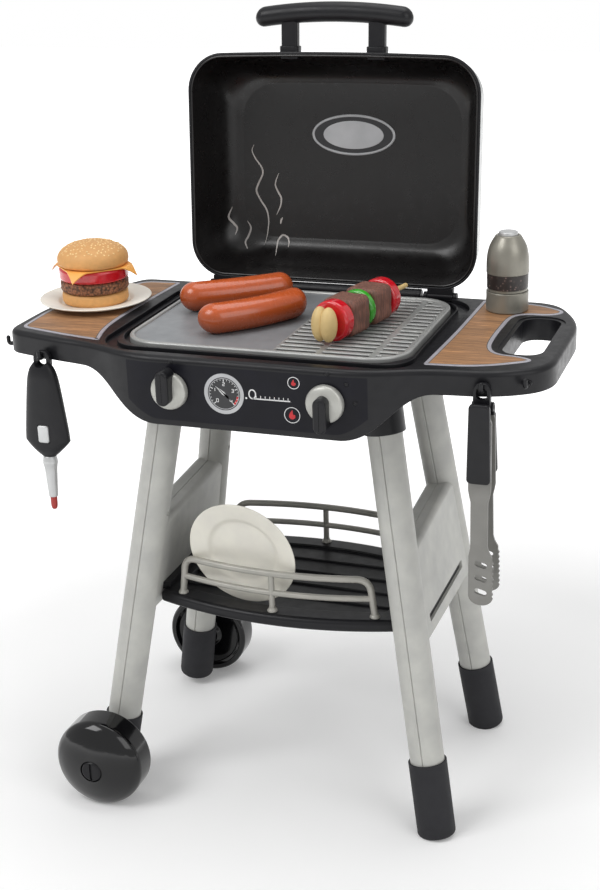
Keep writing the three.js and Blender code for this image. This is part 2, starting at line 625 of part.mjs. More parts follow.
function tableTop() {
  const { top, deck, wall, belly, edge } = TABLE;
  const whole = common(
    slab(tableOutline, belly - 2 * edge, top, edge),
    slabAlongY(bellySilhouette(), panelFront - OVER, tableBack + OVER),
  );
  const hollow = slab(inset(tableOutline, wall), belly - 3 * edge, top - deck);
  const basinTop = PLATE.seat - WELL.depth - WELL.floor;
  const inside = slab(inset(tableOutline, wall / 2), belly - 3 * edge, top - deck / 2);
  const sockets = legSockets(LEG.radius + GAP + SOCKET.wall, SOCKET.bottom, SOCKET.roof).flatMap(pair);
  const added = [
    slab(grooveRect(-SOCKET.wall), top - TABLE.apron - deck, top - deck / 2),
    slab(plateRect(GAP + WELL.wall), basinTop, top - deck / 2),
    slab(gripRect(GRIP_HOLE.wall), TABLE.skirt + deck, top - deck / 2),
  ];
  const clearances = [
    slab(plateRect(-WELL.ledge), PLATE.seat - WELL.depth, top + OVER),
    slab(plateRect(GAP), PLATE.seat - GAP, top + OVER),
    slab(plateRect(WELL.step), top - WELL.stepDepth, top + OVER),
    cut(slab(grooveRect(0), top - GROOVE.depth, top + OVER), slab(grooveRect(GROOVE.width), belly, top + 2 * OVER)),
    slab(gripRect(0), belly, top + OVER),
    slab(gripRect(GRIP_HOLE.lip), top - GRIP_HOLE.lipDepth, top + OVER),
    inlayPocket(LEFT_INLAY), inlayPocket(RIGHT_INLAY),
    ...legSockets(LEG.radius + GAP, SOCKET.bottom - OVER, LEG.end * Math.cos(LEG.lean) + GAP).flatMap(pair),
    ...pair(hingeNotch()),
    ...[KNOB.left, KNOB.right].map((x) => (
      rod(KNOB.shaft + GAP, [x, panelFront - OVER, KNOB_HEIGHT], [x, panelFront + wall + OVER, KNOB_HEIGHT])
    )),
    ...hooks().map(({ hole }) => hole),
  ];
  const inner = joined(...added.map((solid) => common(solid, inside)), ...sockets);
  const body = joined(cut(whole, hollow), inner, tongueSeat(), ...panelMarks(), ...hingeEars().flatMap(pair));
  return piece('table_top', cut(body, ...clearances, ...pair(hingeBore())), 'black');
}

// The cooking plate: smooth griddle at the left, bars across ribs at the right.
function cookingPlate() {
  const { top, seat, rim, rimEdge, floor, skin, griddleEnd, ribs, rib, bars, barShare, border, half } = PLATE;
  const body = slab(plateRect(0), seat, top, rimEdge);
  const pan = slab(plateRect(-rim), floor, top + OVER);
  const under = slab(plateRect(-rim), seat - OVER, floor - skin);
  const edges = [griddleEnd, ribs[0] - rib / 2, ribs[0] + rib / 2, ribs[1] - rib / 2, ribs[1] + rib / 2, half];
  const [front, back] = [PLATE.front + border, PLATE.back - border];
  const pitch = (back - front) / bars;
  const slots = [0, 2, 4].flatMap((bay) => Array.from({ length: bars }, (_, i) => {
    const y = front + (i + HALF) * pitch;
    const reach = (pitch * barShare) / 2;
    return block([edges[bay], edges[bay + 1]], [y - reach, y + reach], [seat - OVER, top + OVER]);
  }));
  const openings = common(joined(...slots), slab(plateRect(-border), seat - 2 * OVER, top + 2 * OVER));
  return piece('cooking_plate', cut(body, pan, under, openings), 'steel');
}

function inlays() {
  const sheet = (rows) => slab(softOutline(rows), TABLE.top - INLAY.pocket + GAP / 2, TABLE.top - INLAY.pocket + GAP / 2 + INLAY.thickness);
  return [piece('wood_inlay_left', sheet(LEFT_INLAY), 'wood'), piece('wood_inlay_right', sheet(RIGHT_INLAY), 'wood')];
}

// One ring of the lid at an inset from its rim.
function lidRing(depthIn, height, corner) {
  const rect = roundedRect([-LID.half + depthIn, LID.half - depthIn], [LID.front + depthIn, LID.back - depthIn], corner, CORNER_STEPS + 1);
  const frontSpan = LID.half - depthIn - corner;
  const rows = [...rect];
  const lastLeft = rows.findIndex((point) => point.y < LID.front + depthIn + WELD);
  const along = [-HALF, 0, HALF].map((share) => new THREE.Vector2(share * frontSpan, LID.front + depthIn));
  rows.splice(lastLeft + 1, 0, ...along);
  return rows.map(({ x, y }) => {
    const forward = THREE.MathUtils.clamp((LID.back - y) / (LID.back - LID.front), 0, 1);
    const middle = 1 - (x / LID.half) ** 2;
    return new THREE.Vector3(x, y - LID.bow * forward * middle, height);
  });
}

// The filled form of the lid, set in from its outside by a skin; dip lowers the open end.
function lidForm(skin, dip) {
  const wall = LID_WALL_SHARES.map((row) => row.map((share) => share * LID.depth));
  wall.at(-1)[1] += LID.crown;
  const rings = wall.map(([depthIn, height], i) => {
    const before = wall[Math.max(i - 1, 0)];
    const after = wall[Math.min(i + 1, wall.length - 1)];
    const rise = new THREE.Vector2(after[0] - before[0], after[1] - before[1]).normalize();
    const drop = i === 0 ? dip : skin * rise.x;
    return lidRing(depthIn + skin * rise.y, LID.rim + height - drop, LID.corner - skin * rise.y);
  });
  return lofted(rings);
}

function lidHandle() {
  const z = LID.rim + HANDLE.above;
  const y = LID.front - LID.bow - HANDLE.reach;
  const straight = 2 * (HANDLE.half - HANDLE.radius);
  const bar = sealed(new THREE.CapsuleGeometry(HANDLE.radius, straight, CORNER_STEPS, SIDES.round));
  bar.rotateZ(Math.PI / 2).translate(0, y, z);
  const post = (grow, edge) => roundedRect([-HANDLE.postHalf - grow, HANDLE.postHalf + grow], [-HANDLE.postThick / 2 - grow, HANDLE.postThick / 2 + grow], edge + grow);
  const posts = [-HANDLE.post, HANDLE.post].flatMap((x) => [
    slabAlongY(post(0, HANDLE.postEdge), y, LID.front + HANDLE.above).translate(x, 0, z),
    slabAlongY(post(HANDLE.collar, HANDLE.postEdge), LID.front - LID.bow - HANDLE.collarLength, LID.front + HANDLE.above).translate(x, 0, z),
  ]);
  return cut(joined(bar, ...posts), lidForm(-GAP, OVER));
}

// The lid in its closed place, hung from the hinge and turned open.
function lid() {
  const lug = joined(
    rod(HINGE.barrel, [HINGE.lugStart, HINGE.y, HINGE.z], [HINGE.lugEnd, HINGE.y, HINGE.z], SIDES.small),
    block([HINGE.lugStart, HINGE.lugEnd], [LID.back - LID.shell / 2, HINGE.y], [LID.rim, HINGE.z + HINGE.barrel]),
  );
  const outer = cut(
    joined(lidForm(0, 0), ...pair(lug)), lidForm(LID.shell, OVER), ...pair(hingeBore()),
  );
  const liner = cut(lidForm(LID.shell + LID.play, 0), lidForm(LID.shell + LID.play + LID.liner, OVER));
  const hung = [
    piece('lid_outer_shell', outer, 'lid'), piece('lid_inner_liner', liner, 'black'),
    piece('lid_handle', lidHandle(), 'black'),
  ];
  hung.forEach((mesh) => mesh.geometry.translate(0, -HINGE.y, -HINGE.z));
  const group = placedGroup(0, HINGE.y, HINGE.z, ...hung);
  group.rotation.x = -LID.open;
  return group;
}

function hingePins() {
  const from = HINGE.lugStart - HINGE.ear - HINGE.earWall;
  const to = HINGE.lugEnd + HINGE.ear + HINGE.earWall;
  const pin = rod(HINGE.pin, [from, HINGE.y, HINGE.z], [to, HINGE.y, HINGE.z]);
  return [piece('lid_hinge_pin_right', pin, 'steel'), piece('lid_hinge_pin_left', mirrored(pin), 'steel')];
}

// The domed dial about the Z axis, grown by a distance; the panel is at 0.
function dialForm(grow, tail) {
  const rise = KNOB.dome - KNOB.rim;
  const dome = KNOB_DOME_SHARES.map(([radius, height]) => [
    radius ? KNOB.radius * radius + grow : 0, KNOB.rim + rise * height + grow,
  ]);
  return turned([[0, -tail], [KNOB.shaft, -tail], [KNOB.shaft, GAP - grow], [KNOB.radius + grow, GAP - grow], ...dome], SIDES.round);
}

function leverForm() {
  const outline = roundedRect([-KNOB.leverHalf, KNOB.leverHalf], [-KNOB.leverBack, KNOB.lever], KNOB.leverHalf);
  return cut(slab(outline, KNOB.leverFoot, KNOB.leverTop, KNOB.leverEdge), dialForm(GAP, 0));
}

// The toothed wheel on the right knob's shaft.
function clickWheel() {
  const rim = Array.from({ length: 2 * CLICK.teeth }, (_, i) => {
    const radius = CLICK.radius - (i % 2 ? CLICK.tooth : 0);
    const angle = (i * Math.PI) / CLICK.teeth;
    return new THREE.Vector2(radius * Math.sin(angle), -radius * Math.cos(angle));
  });
  const bore = rod(KNOB.shaft + GAP, [0, 0, -KNOB.radius], [0, 0, KNOB.radius]);
  const near = -TABLE.wall - CLICK.behind;
  return cut(slab(rim, near - CLICK.width, near), bore);
}

// The thin tongue that the teeth flick past, standing on its seat behind the panel.
function clickTongue() {
  const foot = KNOB_HEIGHT - CLICK.radius - CLICK.tongueFoot;
  const back = panelFront + TABLE.wall + CLICK.behind;
  const [x, half] = [KNOB.right, CLICK.tongueThick / 2];
  return joined(
    block([x - half, x + half], [back, back + CLICK.width], [foot + GAP, KNOB_HEIGHT - CLICK.radius - GAP]),
    block([x - CLICK.tongueHalf, x + CLICK.tongueHalf], [back, back + CLICK.width], [foot + GAP, foot + GAP + CLICK.tongueThick]),
  );
}

function knobs() {
  const make = (side, turn) => {
    const lever = piece(`knob_${side}_lever`, leverForm(), 'black');
    lever.rotation.z = turn;
    const dial = piece(`knob_${side}_dial`, dialForm(0, KNOB.tail), 'steel');
    const inner = placedGroup(0, 0, 0, dial, lever);
    if (side === 'right') inner.add(piece('ratchet_wheel', clickWheel(), 'black'));
    inner.rotation.x = Math.PI / 2;
    return placedGroup(KNOB[side], panelFront, KNOB_HEIGHT, inner);
  };
  return [make('left', 0), make('right', Math.PI), piece('click_tongue', clickTongue(), 'steel')];
}

// A hook standing out along -Y from a point on the skirt, its tip upward.
function hookForm(root, drop = 0, tip = HOOK.tip) {
  const skirt = slab(inset(tableOutline, -GAP), TABLE.skirt - TABLE.top, TABLE.top + OVER);
  const route = bentRoute([
    [0, HOOK.peg, 0], [0, -HOOK.reach, -drop], [0, -HOOK.reach, tip],
  ], HOOK.bend).map((point) => point.applyAxisAngle(new THREE.Vector3(0, 0, 1), root.turn).add(root.at));
  const out = new THREE.Vector3(0, -1, 0).applyAxisAngle(new THREE.Vector3(0, 0, 1), root.turn);
  const along = (distance) => root.at.clone().addScaledVector(out, distance).toArray();
  const shown = joined(wire(route, HOOK.wire), rod(HOOK.flange, along(-HOOK.flange), along(HOOK.flangeDepth), SIDES.small));
  return {
    name: root.name,
    solid: joined(cut(shown, skirt), rod(HOOK.peg, along(-HOOK.pegTail), along(HOOK.flangeDepth / 2), SIDES.pin)),
    hole: rod(HOOK.peg + GAP, along(-HOOK.pegTail - OVER), along(OVER), SIDES.pin),
  };
}

function hooks() {
  const front = (name, { x, z }) => ({ name, turn: 0, at: new THREE.Vector3(x, skirtFront(x), z) });
  const end = { name: 'hook_left_end', turn: -Math.PI / 2, at: new THREE.Vector3(skirtLeft(END_HOOK.y), END_HOOK.y, END_HOOK.z) };
  return [
    hookForm(front('hook_front_left', LEFT_HOOK)), hookForm(front('hook_front_right', RIGHT_HOOK)),
    hookForm(front('hook_right_end', SMALL_HOOK)), hookForm(end, END_HOOK.drop, END_HOOK.tip),
  ];
}

// The bowed edge of the shelf, or of a rail, at a distance along it.
function bowed(x, { half, endReach, bow }) {
  return endReach + bow * (1 - (x / half) ** 2);
}

function shelfOutline(shrink, endShrink) {
  const half = SHELF.half - endShrink;
  const steps = 2 * CURVE_STEPS;
  const back = Array.from({ length: steps + 1 }, (_, i) => {
    const x = half * (1 - (2 * i) / steps);
    return new THREE.Vector2(x, bowed(x, SHELF) - shrink);
  });
  return [...back, ...back.map(({ x, y }) => new THREE.Vector2(-x, -y))];
}

function lowerShelf() {
  const { top, thickness, floor, edge, band, endBand, rib, ribHalf, grooves } = SHELF;
  const bottom = top - thickness;
  const base = slab(shelfOutline(0, 0), bottom, top, edge);
  const pocket = slab(shelfOutline(band, endBand), bottom + floor, top + OVER);
  const pitch = (2 * (SHELF.endReach + SHELF.bow - band)) / grooves;
  const ribs = Array.from({ length: grooves - 1 }, (_, i) => {
    const y = (i + 1 - grooves / 2) * pitch;
    return common(
      block([-SHELF.half, SHELF.half], [y - ribHalf, y + ribHalf], [bottom + floor / 2, bottom + floor + rib]),
      slab(shelfOutline(band - OVER, endBand - OVER), bottom, top),
    );
  });
  const half = SLOT.height / 2 - GAP;
  const tab = (reach) => block(reach, [SLOT.front + GAP, SLOT.back - GAP], [SLOT.middle - half, SLOT.middle + half]);
  const tabs = [tab([SHELF.tabStart, SHELF.tabReach]), tab([-SHELF.tabReach, -SHELF.tabStart])];
  return piece('lower_shelf', joined(cut(base, pocket), ...ribs, ...tabs), 'black');
}

// The front rail; the back one is the same turned half round.
function railForm() {
  const { wire: thick, lower, half, lean, top, middle, bend, foot, footDepth } = RAIL;
  const upper = half - lean;
  const base = SHELF.top + GAP;
  const at = (x, z) => new THREE.Vector3(x, -bowed(x, RAIL), z);
  const across = (reach, z, steps) => Array.from({ length: steps + 1 }, (_, i) => at(reach * ((2 * i) / steps - 1), z));
  const ends = [-1, 1].map((side) => bentRoute([
    at(side * half, base + footDepth * HALF).toArray(), at(side * upper, top).toArray(), at(side * (upper - bend), top).toArray(),
  ], bend * (1 - HALF / CURVE_STEPS), CORNER_STEPS));
  const route = [...ends[0], ...across(upper - bend, top, CURVE_STEPS).slice(1, -1), ...ends[1].reverse()];
  const posts = [-half, 0, half].map((x) => {
    const { y } = at(x, base);
    return rod(foot, [x, y, base], [x, y, base + footDepth], SIDES.pin, foot * (1 - HALF / 2));
  });
  const mid = at(0, base);
  return joined(
    wire(route, thick, SIDES.pin), wire(across(half - lean / 2, middle, CURVE_STEPS), lower, SIDES.pin),
    rod(lower, mid.toArray(), [mid.x, mid.y, top], SIDES.pin), ...posts,
  );
}

function rails() {
  const back = piece('rail_back', railForm(), 'rail');
  back.rotation.z = Math.PI;
  return [piece('rail_front', railForm(), 'rail'), back];
}

// A dinner plate about the Z axis, standing on its foot at 0.
function dishForm() {
  const { radius, height, well, wellDepth, foot, skin, step } = DISH;
  const floor = height - wellDepth - step / 2;
  return turned([
    [0, 0], [foot - skin, 0], [foot, skin / 3], [foot + skin, height - wellDepth], [radius - skin / 3, height - skin],
    [radius, height - skin / 2], [radius - skin / 3, height], [foot + skin, height - step], [foot, height - step - skin / 3],
    [well, floor], [0, floor],
  ], SIDES.large);
}

function dishes() {
  const upper = piece('plate_upper', dishForm(), 'dish');
  upper.position.set(TOP_DISH.x, TOP_DISH.y, inlayTop() + GAP);
  const lower = piece('plate_lower', dishForm().translate(0, DISH.radius, 0), 'dish');
  lower.rotation.x = Math.PI / 2 + LOW_DISH.lean;
  const floor = SHELF.top - SHELF.thickness + SHELF.floor + GAP + DISH.height * Math.sin(LOW_DISH.lean);
  const leaning = placedGroup(LOW_DISH.x, LOW_DISH.y, floor, lower);
  leaning.rotation.z = LOW_DISH.turn;
  return [upper, leaning];
}

function inlayTop() {
  return TABLE.top - INLAY.pocket + GAP / 2 + INLAY.thickness;
}

// A cake form with rounded edges, from one height to another.
function cake(radius, from, to, edge) {
  return turned([
    [0, from], [radius - edge, from], [radius, from + edge], [radius, to - edge], [radius - edge, to], [0, to],
  ]);
}

// A square slice of cheese whose corners hang over what it lies on.
function cheeseForm(from) {
  const { cheese, cheeseThick, cheeseDrop, tomato, edge } = BURGER;
  const bend = tomato + edge + edge;
  const level = (x, y) => cheeseDrop * Math.max(Math.hypot(x, y) - bend, 0) / (cheese * Math.SQRT2 - bend);
  const steps = CURVE_STEPS + 2;
  const geometry = sealed(new THREE.BoxGeometry(2 * cheese, 2 * cheese, cheeseThick, steps, steps, 1));
  const position = geometry.attributes.position;
  for (let i = 0; i < position.count; i += 1) {
    const drop = level(position.getX(i), position.getY(i));
    position.setZ(i, position.getZ(i) + from + cheeseThick / 2 - drop);
  }
  return geometry;
}

function burger() {
  const b = BURGER;
  const bottom = DISH.height - DISH.wellDepth - DISH.step / 2 + GAP;
  const patty = bottom + b.bunBottomHeight + GAP;
  const tomato = patty + b.pattyHeight + GAP;
  const cheese = tomato + b.tomatoHeight + GAP;
  const bun = cheese + b.cheeseThick + GAP;
  const dome = [[1, 0.32], [0.93, 0.56], [0.78, 0.78], [0.52, 0.93], [0.26, 0.985]].map(([radiusShare, heightShare]) => (
    [b.bunTop * radiusShare, bun + b.bunTopHeight * heightShare]
  ));
  const pieces = [
    piece('bun_bottom', cake(b.bunBottom, bottom, patty - GAP, b.edge), 'bun'),
    piece('patty', cake(b.patty, patty, tomato - GAP, b.edge), 'patty'),
    piece('burger_tomato', cake(b.tomato, tomato, cheese - GAP, b.edge), 'tomato'),
    piece('cheese_slice', cheeseForm(cheese).rotateZ(Math.PI / 4), 'cheese'),
    piece('bun_top', turned([[0, bun], [b.bunTop - b.edge, bun], [b.bunTop, bun + b.edge], ...dome, [0, bun + b.bunTopHeight]], SIDES.round), 'bun'),
  ];
  return placedGroup(TOP_DISH.x, TOP_DISH.y, inlayTop() + GAP, ...pieces);
}

// A curved sausage along X, bulging towards -Y, lying on the griddle.
function sausageForm(sag) {
  const { radius, length, steps } = SAUSAGE;
  const rings = [];
  const reach = length / 2 + radius;
  const count = steps + 2 * CORNER_STEPS;
  for (let i = 0; i < count; i += 1) {
    const x = -reach * Math.cos(((i + HALF) * Math.PI) / count);
    const size = Math.sqrt(radius ** 2 - Math.max(Math.abs(x) - length / 2, 0) ** 2);
    const y = -sag * (1 - (2 * x / length) ** 2);
    rings.push(circle(size, SIDES.small).map((point) => new THREE.Vector3(x, y + point.x, point.y)));
  }
  return lofted(rings);
}

function sausages() {
  return SAUSAGES.map(({ name, place: { x, y, turn }, sagShare }) => {
    const mesh = piece(name, sausageForm(SAUSAGE.sag * sagShare), 'sausage');
    mesh.position.set(x, y, PLATE.floor + SAUSAGE.radius + GAP);
    mesh.rotation.z = turn;
    return mesh;
  });
}

// A round slice across the X axis from one distance to another, bored for the stick.
function sliceForm(radius, from, to, bore, edge) {
  const body = turned([
    [bore, from], [radius - edge, from], [radius, from + edge], [radius, to - edge], [radius - edge, to],
    [bore, to], [bore, from],
  ]);
  return body.rotateY(Math.PI / 2);
}

function kebab() {
  const k = KEBAB;
  const bore = k.stick + GAP;
  const outline = roundedRect([-k.cube, k.cube], [-k.cube, k.cube], k.edge + k.edge);
  const starts = [0];
  [k.sliceWidth, k.cubeLength, k.pepperWidth, k.cubeLength].forEach((length) => starts.push(starts.at(-1) + length + GAP));
  const cube = (from) => cut(
    slabAlongX(outline, from, from + k.cubeLength, k.edge),
    rod(bore, [from - OVER, 0, 0], [from + k.cubeLength + OVER, 0, 0], SIDES.pin),
  );
  const slice = (from) => sliceForm(k.slice, from, from + k.sliceWidth, bore, k.edge);
  const end = -GAP;
  const lobes = [-HALF, HALF].map((share) => {
    const lobe = sealed(new THREE.SphereGeometry(1, SIDES.round, SIDES.small));
    return lobe.scale(k.cream, k.creamSide, k.creamTall).translate(end - k.cream, share * k.cream, 0);
  });
  const stick = joined(
    rod(k.stick, [end - k.cream, 0, 0], [k.stickEnd - k.stickStart, 0, 0], SIDES.pin), ...lobes,
  );
  const group = placedGroup(k.x, k.y, PLATE.floor + k.slice + GAP,
    piece('kebab_stick', stick, 'cream'), piece('kebab_tomato_front', slice(starts[0]), 'tomato'),
    piece('kebab_meat_front', cube(starts[1]), 'meat'),
    piece('kebab_pepper', sliceForm(k.pepper, starts[2], starts[2] + k.pepperWidth, bore, k.edge), 'pepper'),
    piece('kebab_meat_back', cube(starts[3]), 'meat'), piece('kebab_tomato_back', slice(starts[4]), 'tomato'));
  group.rotation.z = k.turn;
  return group;
}

function mill() {
  const m = MILL;
  const floor = inlayTop() + GAP;
  const neck = m.base + GAP;
  const shoulder = m.base + m.band;
  const rise = m.dome - m.band;
  const well = m.button + GAP;
  const roof = m.base + m.dome;
  const seat = roof - 2 * m.travel - m.edge - GAP;
  const base = cake(m.radius, 0, m.base, m.edge);
  const body = turned([
    [0, neck], [m.radius - m.edge, neck], [m.radius - m.edge, shoulder], [m.radius, shoulder], [m.radius, shoulder + rise / 2],
    [m.radius - 2 * m.wall, shoulder + (3 * rise) / 4], [well + m.wall, roof], [well, roof], [well, seat], [0, seat],
  ], SIDES.round);
  const button = cake(m.button, seat + m.travel + GAP, roof + m.buttonHeight - m.edge, m.edge);
  return placedGroup(m.x, m.y, floor,
    piece('mill_base', base, 'mill'), piece('mill_body', body, 'mill'), piece('mill_button', button, 'mill'));
}

// A flat loop with a hole, in X and Z, joined to the tool below it.
function loopForm({ loopHalf, loopTop, loopThick }, bottom) {
  const outline = roundedRect([-loopHalf, loopHalf], [bottom, loopTop], loopHalf * (1 - HALF / 4));
  return slabAlongY(outline, -loopThick / 2, loopThick / 2);
}

function loopHole({ holeHalf, holeTop, holeBottom }) {
  return slabAlongY(roundedRect([-holeHalf, holeHalf], [holeBottom, holeTop], holeHalf * (1 - HALF / 4)), -TABLE.top, TABLE.top);
}

function lighter() {
  const l = LIGHTER;
  const rows = LIGHTER_BODY_SHARES.map(([wide, high]) => new THREE.Vector2(wide * LIGHTER_HALF, l.bottom + high * (l.top - l.bottom)));
  const outline = [...rows, ...rows.map(({ x, y }) => new THREE.Vector2(-x, y)).reverse()];
  const front = -l.thick / 2;
  const window = block([-TRIGGER.half - GAP, TRIGGER.half + GAP], [front - OVER, front + TRIGGER.depth], [
    TRIGGER_BOTTOM - GAP, TRIGGER_TOP + GAP,
  ]);
  const socket = rod(l.rod + GAP, [0, 0, l.bottom - OVER], [0, 0, l.bottom + 2 * l.barrel]);
  const body = cut(
    joined(slabAlongY(outline, front, -front, l.edge), loopForm(l, l.top - l.loopHalf).translate(0, l.forward, 0)),
    loopHole(l), window, socket,
  );
  const trigger = slabAlongY(
    roundedRect([-TRIGGER.half, TRIGGER.half], [TRIGGER_BOTTOM, TRIGGER_TOP], TRIGGER.edge),
    front - TRIGGER.proud, front + TRIGGER.depth - TRIGGER.travel - GAP,
  );
  const foot = l.bottom - GAP;
  const barrel = turned([
    [0, l.barrelEnd], [l.barrelTip, l.barrelEnd], [l.barrel, foot - 2 * l.barrel], [l.barrel + l.collar, foot - l.barrel],
    [l.barrel, foot], [l.rod, foot], [l.rod, foot + 2 * l.barrel], [0, foot + 2 * l.barrel],
  ], SIDES.small);
  const tipStart = l.barrelEnd - GAP;
  const flame = turned([
    [0, l.flameEnd], [l.flame / 2, l.flameEnd + l.flame / 2], [l.flame, tipStart - l.flame], [l.flame, tipStart], [0, tipStart],
  ], SIDES.small);
  return placedGroup(LEFT_HOOK.x, skirtFront(LEFT_HOOK.x) - HOOK.reach / 2 - l.forward, 0,
    piece('lighter_body', body, 'black'), piece('lighter_trigger', trigger, 'steel'),
    piece('lighter_barrel', barrel, 'steel'), piece('lighter_flame', flame, 'flame'));
}

// The blade of a tong arm: straight at the top, wide and slotted at the end, with teeth up its right side.
function tongBlade(near, far) {
  const t = TONGS;
  const shoulder = t.bladeRight - t.armHalf;
  const [low, high] = [t.armEnd + t.bladeLeft, t.bladeTop - 2 * shoulder];
  const teeth = Array.from({ length: 2 * t.teeth + 1 }, (_, i) => (
    new THREE.Vector2(t.bladeRight - (i % 2 ? 0 : t.tooth), low + ((high - low) * i) / (2 * t.teeth))
  ));
  const end = Array.from({ length: CORNER_STEPS + 1 }, (_, i) => {
    const angle = (i / CORNER_STEPS) * Math.PI;
    const middle = (t.bladeRight - t.bladeLeft) / 2;
    const half = (t.bladeRight + t.bladeLeft) / 2;
    return new THREE.Vector2(middle - half * Math.cos(angle), low - t.bladeLeft * Math.sin(angle));
  });
  const outline = [
    new THREE.Vector2(-t.armHalf, t.pivot), new THREE.Vector2(-t.armHalf, t.bladeTop),
    new THREE.Vector2(-t.bladeLeft, t.bladeTop - shoulder), ...end.slice(0, -1), ...teeth,
    new THREE.Vector2(t.armHalf, t.bladeTop), new THREE.Vector2(t.armHalf, t.pivot),
  ];
  const slots = Array.from({ length: t.slots }, (_, i) => (
    slabAlongY(roundedRect([-t.slotReach, t.slotReach], [-t.slot, t.slot], t.slot), near - OVER, far + OVER)
      .rotateY(t.slotLean).translate(t.slotAside, 0, t.armEnd + (i + 1) * t.slotPitch)
  ));
  return cut(slabAlongY(outline, near, far), ...slots);
}

// A grip, a little narrower at its top.
function gripForm(near, far, top) {
  const t = TONGS;
  const outline = roundedRect([-t.gripHalf, t.gripHalf], [t.gripEnd, top], t.gripEdge * 2);
  const tapered = outline.map(({ x, y }) => (
    new THREE.Vector2(x - (Math.sign(x) * t.gripTaper * (y - t.gripEnd)) / (top - t.gripEnd), y)
  ));
  return slabAlongY(tapered, near, far, t.gripEdge);
}

// Tongs hung by their loop, with the back arm turned open about its pin.
function tongs() {
  const t = TONGS;
  const pivot = [t.spread, t.pivot];
  const armNear = -t.spread - t.arm;
  const half = t.knuckle;
  const knuckle = joined(
    rod(t.barrel, [-half, ...pivot], [half, ...pivot], SIDES.small),
    block([-half, half], [armNear, t.spread], [t.pivot - t.barrel, t.pivot + t.barrel]),
  );
  const bore = rod(t.pin + GAP, [-2 * half, ...pivot], [2 * half, ...pivot], SIDES.pin);
  const loop = cut(loopForm(t, t.pivot - t.barrel), block([-t.loopHalf - OVER, t.loopHalf + OVER], [
    t.spread - t.barrel - GAP, 2 * t.spread], [t.pivot - 2 * t.barrel, t.pivot + t.barrel + GAP]));
  const front = cut(joined(tongBlade(armNear, -t.spread), knuckle, loop), loopHole(t), bore);
  const gripBack = armNear - GAP;
  const frontGrip = gripForm(gripBack - t.gripThick, gripBack, t.frontGripTop);
  const earEdge = [half + GAP, half + GAP + t.earWidth];
  const ears = [-1, 1].flatMap((side) => {
    const [x0, x1] = earEdge.map((x) => side * x);
    return [
      rod(t.barrel, [x0, 0, 0], [x1, 0, 0], SIDES.small),
      block([Math.min(x0, x1), Math.max(x0, x1)], [0, t.barrel], [-2 * t.barrel, 0]),
    ];
  });
  const [rearNear, rearFar] = [t.barrel - t.arm, t.barrel];
  const blade = cut(
    tongBlade(rearNear, rearFar).translate(0, 0, -t.pivot),
    block([-half - GAP, half + GAP], [-2 * t.barrel, 2 * t.barrel], [-t.barrel - GAP, 2 * t.barrel]),
  );
  const shoulder = block([-earEdge[1], earEdge[1]], [rearNear, rearFar], [-2 * t.barrel, -t.barrel - GAP]);
  const rear = joined(blade, shoulder, ...ears, rod(t.pin, [-earEdge[1], 0, 0], [earEdge[1], 0, 0], SIDES.pin));
  const rearGrip = gripForm(rearFar + GAP, rearFar + GAP + t.gripThick, t.gripTop).translate(0, 0, -t.pivot);
  const swung = placedGroup(0, t.spread, t.pivot,
    piece('tongs_arm_rear', rear, 'steel'), piece('tongs_grip_rear', rearGrip, 'black'));
  swung.rotation.x = t.open;
  return placedGroup(RIGHT_HOOK.x, skirtFront(RIGHT_HOOK.x) - HOOK.reach / 2, 0,
    piece('tongs_arm_front', front, 'steel'), piece('tongs_grip_front', frontGrip, 'black'), swung);
}

const grill = placedGroup(STAND.x, STAND.y, 0,
  ...sideFrames(), ...footSleeves(), ...wheels(), tableTop(), cookingPlate(), ...inlays(),
  lid(), ...hingePins(), ...knobs(), ...hooks().map(({ name, solid }) => piece(name, solid, 'black')),
  lowerShelf(), ...rails(), ...dishes(), burger(), ...sausages(), kebab(), mill(), lighter(), tongs());

export default grill;
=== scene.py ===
"""Looks of a toy barbecue grill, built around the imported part.

Sizes are millimetres from the middle of the toy's body, on the floor: X runs to the carrying grip, the
front is at -Y and Z is up.
Each sub-assembly is a class that builds its pieces and dresses them in its finishes.
"""
from __future__ import annotations

import logging
import math
import random
from collections.abc import Callable, Iterable, Sequence
from dataclasses import dataclass
from enum import Enum

import bmesh
import bpy
from mathutils import Matrix, Vector, noise
from mathutils.bvhtree import BVHTree
from mathutils.geometry import tessellate_polygon


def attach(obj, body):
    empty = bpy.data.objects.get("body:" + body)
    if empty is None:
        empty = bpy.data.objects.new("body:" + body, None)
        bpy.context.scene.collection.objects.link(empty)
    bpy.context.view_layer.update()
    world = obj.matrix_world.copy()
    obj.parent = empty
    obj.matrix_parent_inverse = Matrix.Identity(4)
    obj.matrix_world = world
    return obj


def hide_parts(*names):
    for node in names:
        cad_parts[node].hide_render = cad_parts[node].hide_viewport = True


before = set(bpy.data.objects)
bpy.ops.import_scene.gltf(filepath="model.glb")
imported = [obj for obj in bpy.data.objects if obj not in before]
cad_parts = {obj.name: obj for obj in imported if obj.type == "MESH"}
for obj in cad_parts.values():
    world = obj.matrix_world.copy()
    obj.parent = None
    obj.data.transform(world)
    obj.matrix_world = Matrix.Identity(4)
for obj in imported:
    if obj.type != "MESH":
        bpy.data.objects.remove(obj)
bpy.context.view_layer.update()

log = logging.getLogger("grill")

MM = 0.001
STAND = Vector((4.8, -12.3, 0.0))
GAP = 0.3
NOISE_SEED = 1

Pair = tuple[float, float]
Loop = list[Pair]
Ring = list[Vector]


class Axis(Enum):
    """The axis that an outline is extruded along."""

    X = Matrix(((0, 0, 1, 0), (1, 0, 0, 0), (0, 1, 0, 0), (0, 0, 0, 1)))
    Y = Matrix(((1, 0, 0, 0), (0, 0, -1, 0), (0, 1, 0, 0), (0, 0, 0, 1)))
    Z = Matrix.Identity(4)


# ---------------------------------------------------------------- outlines

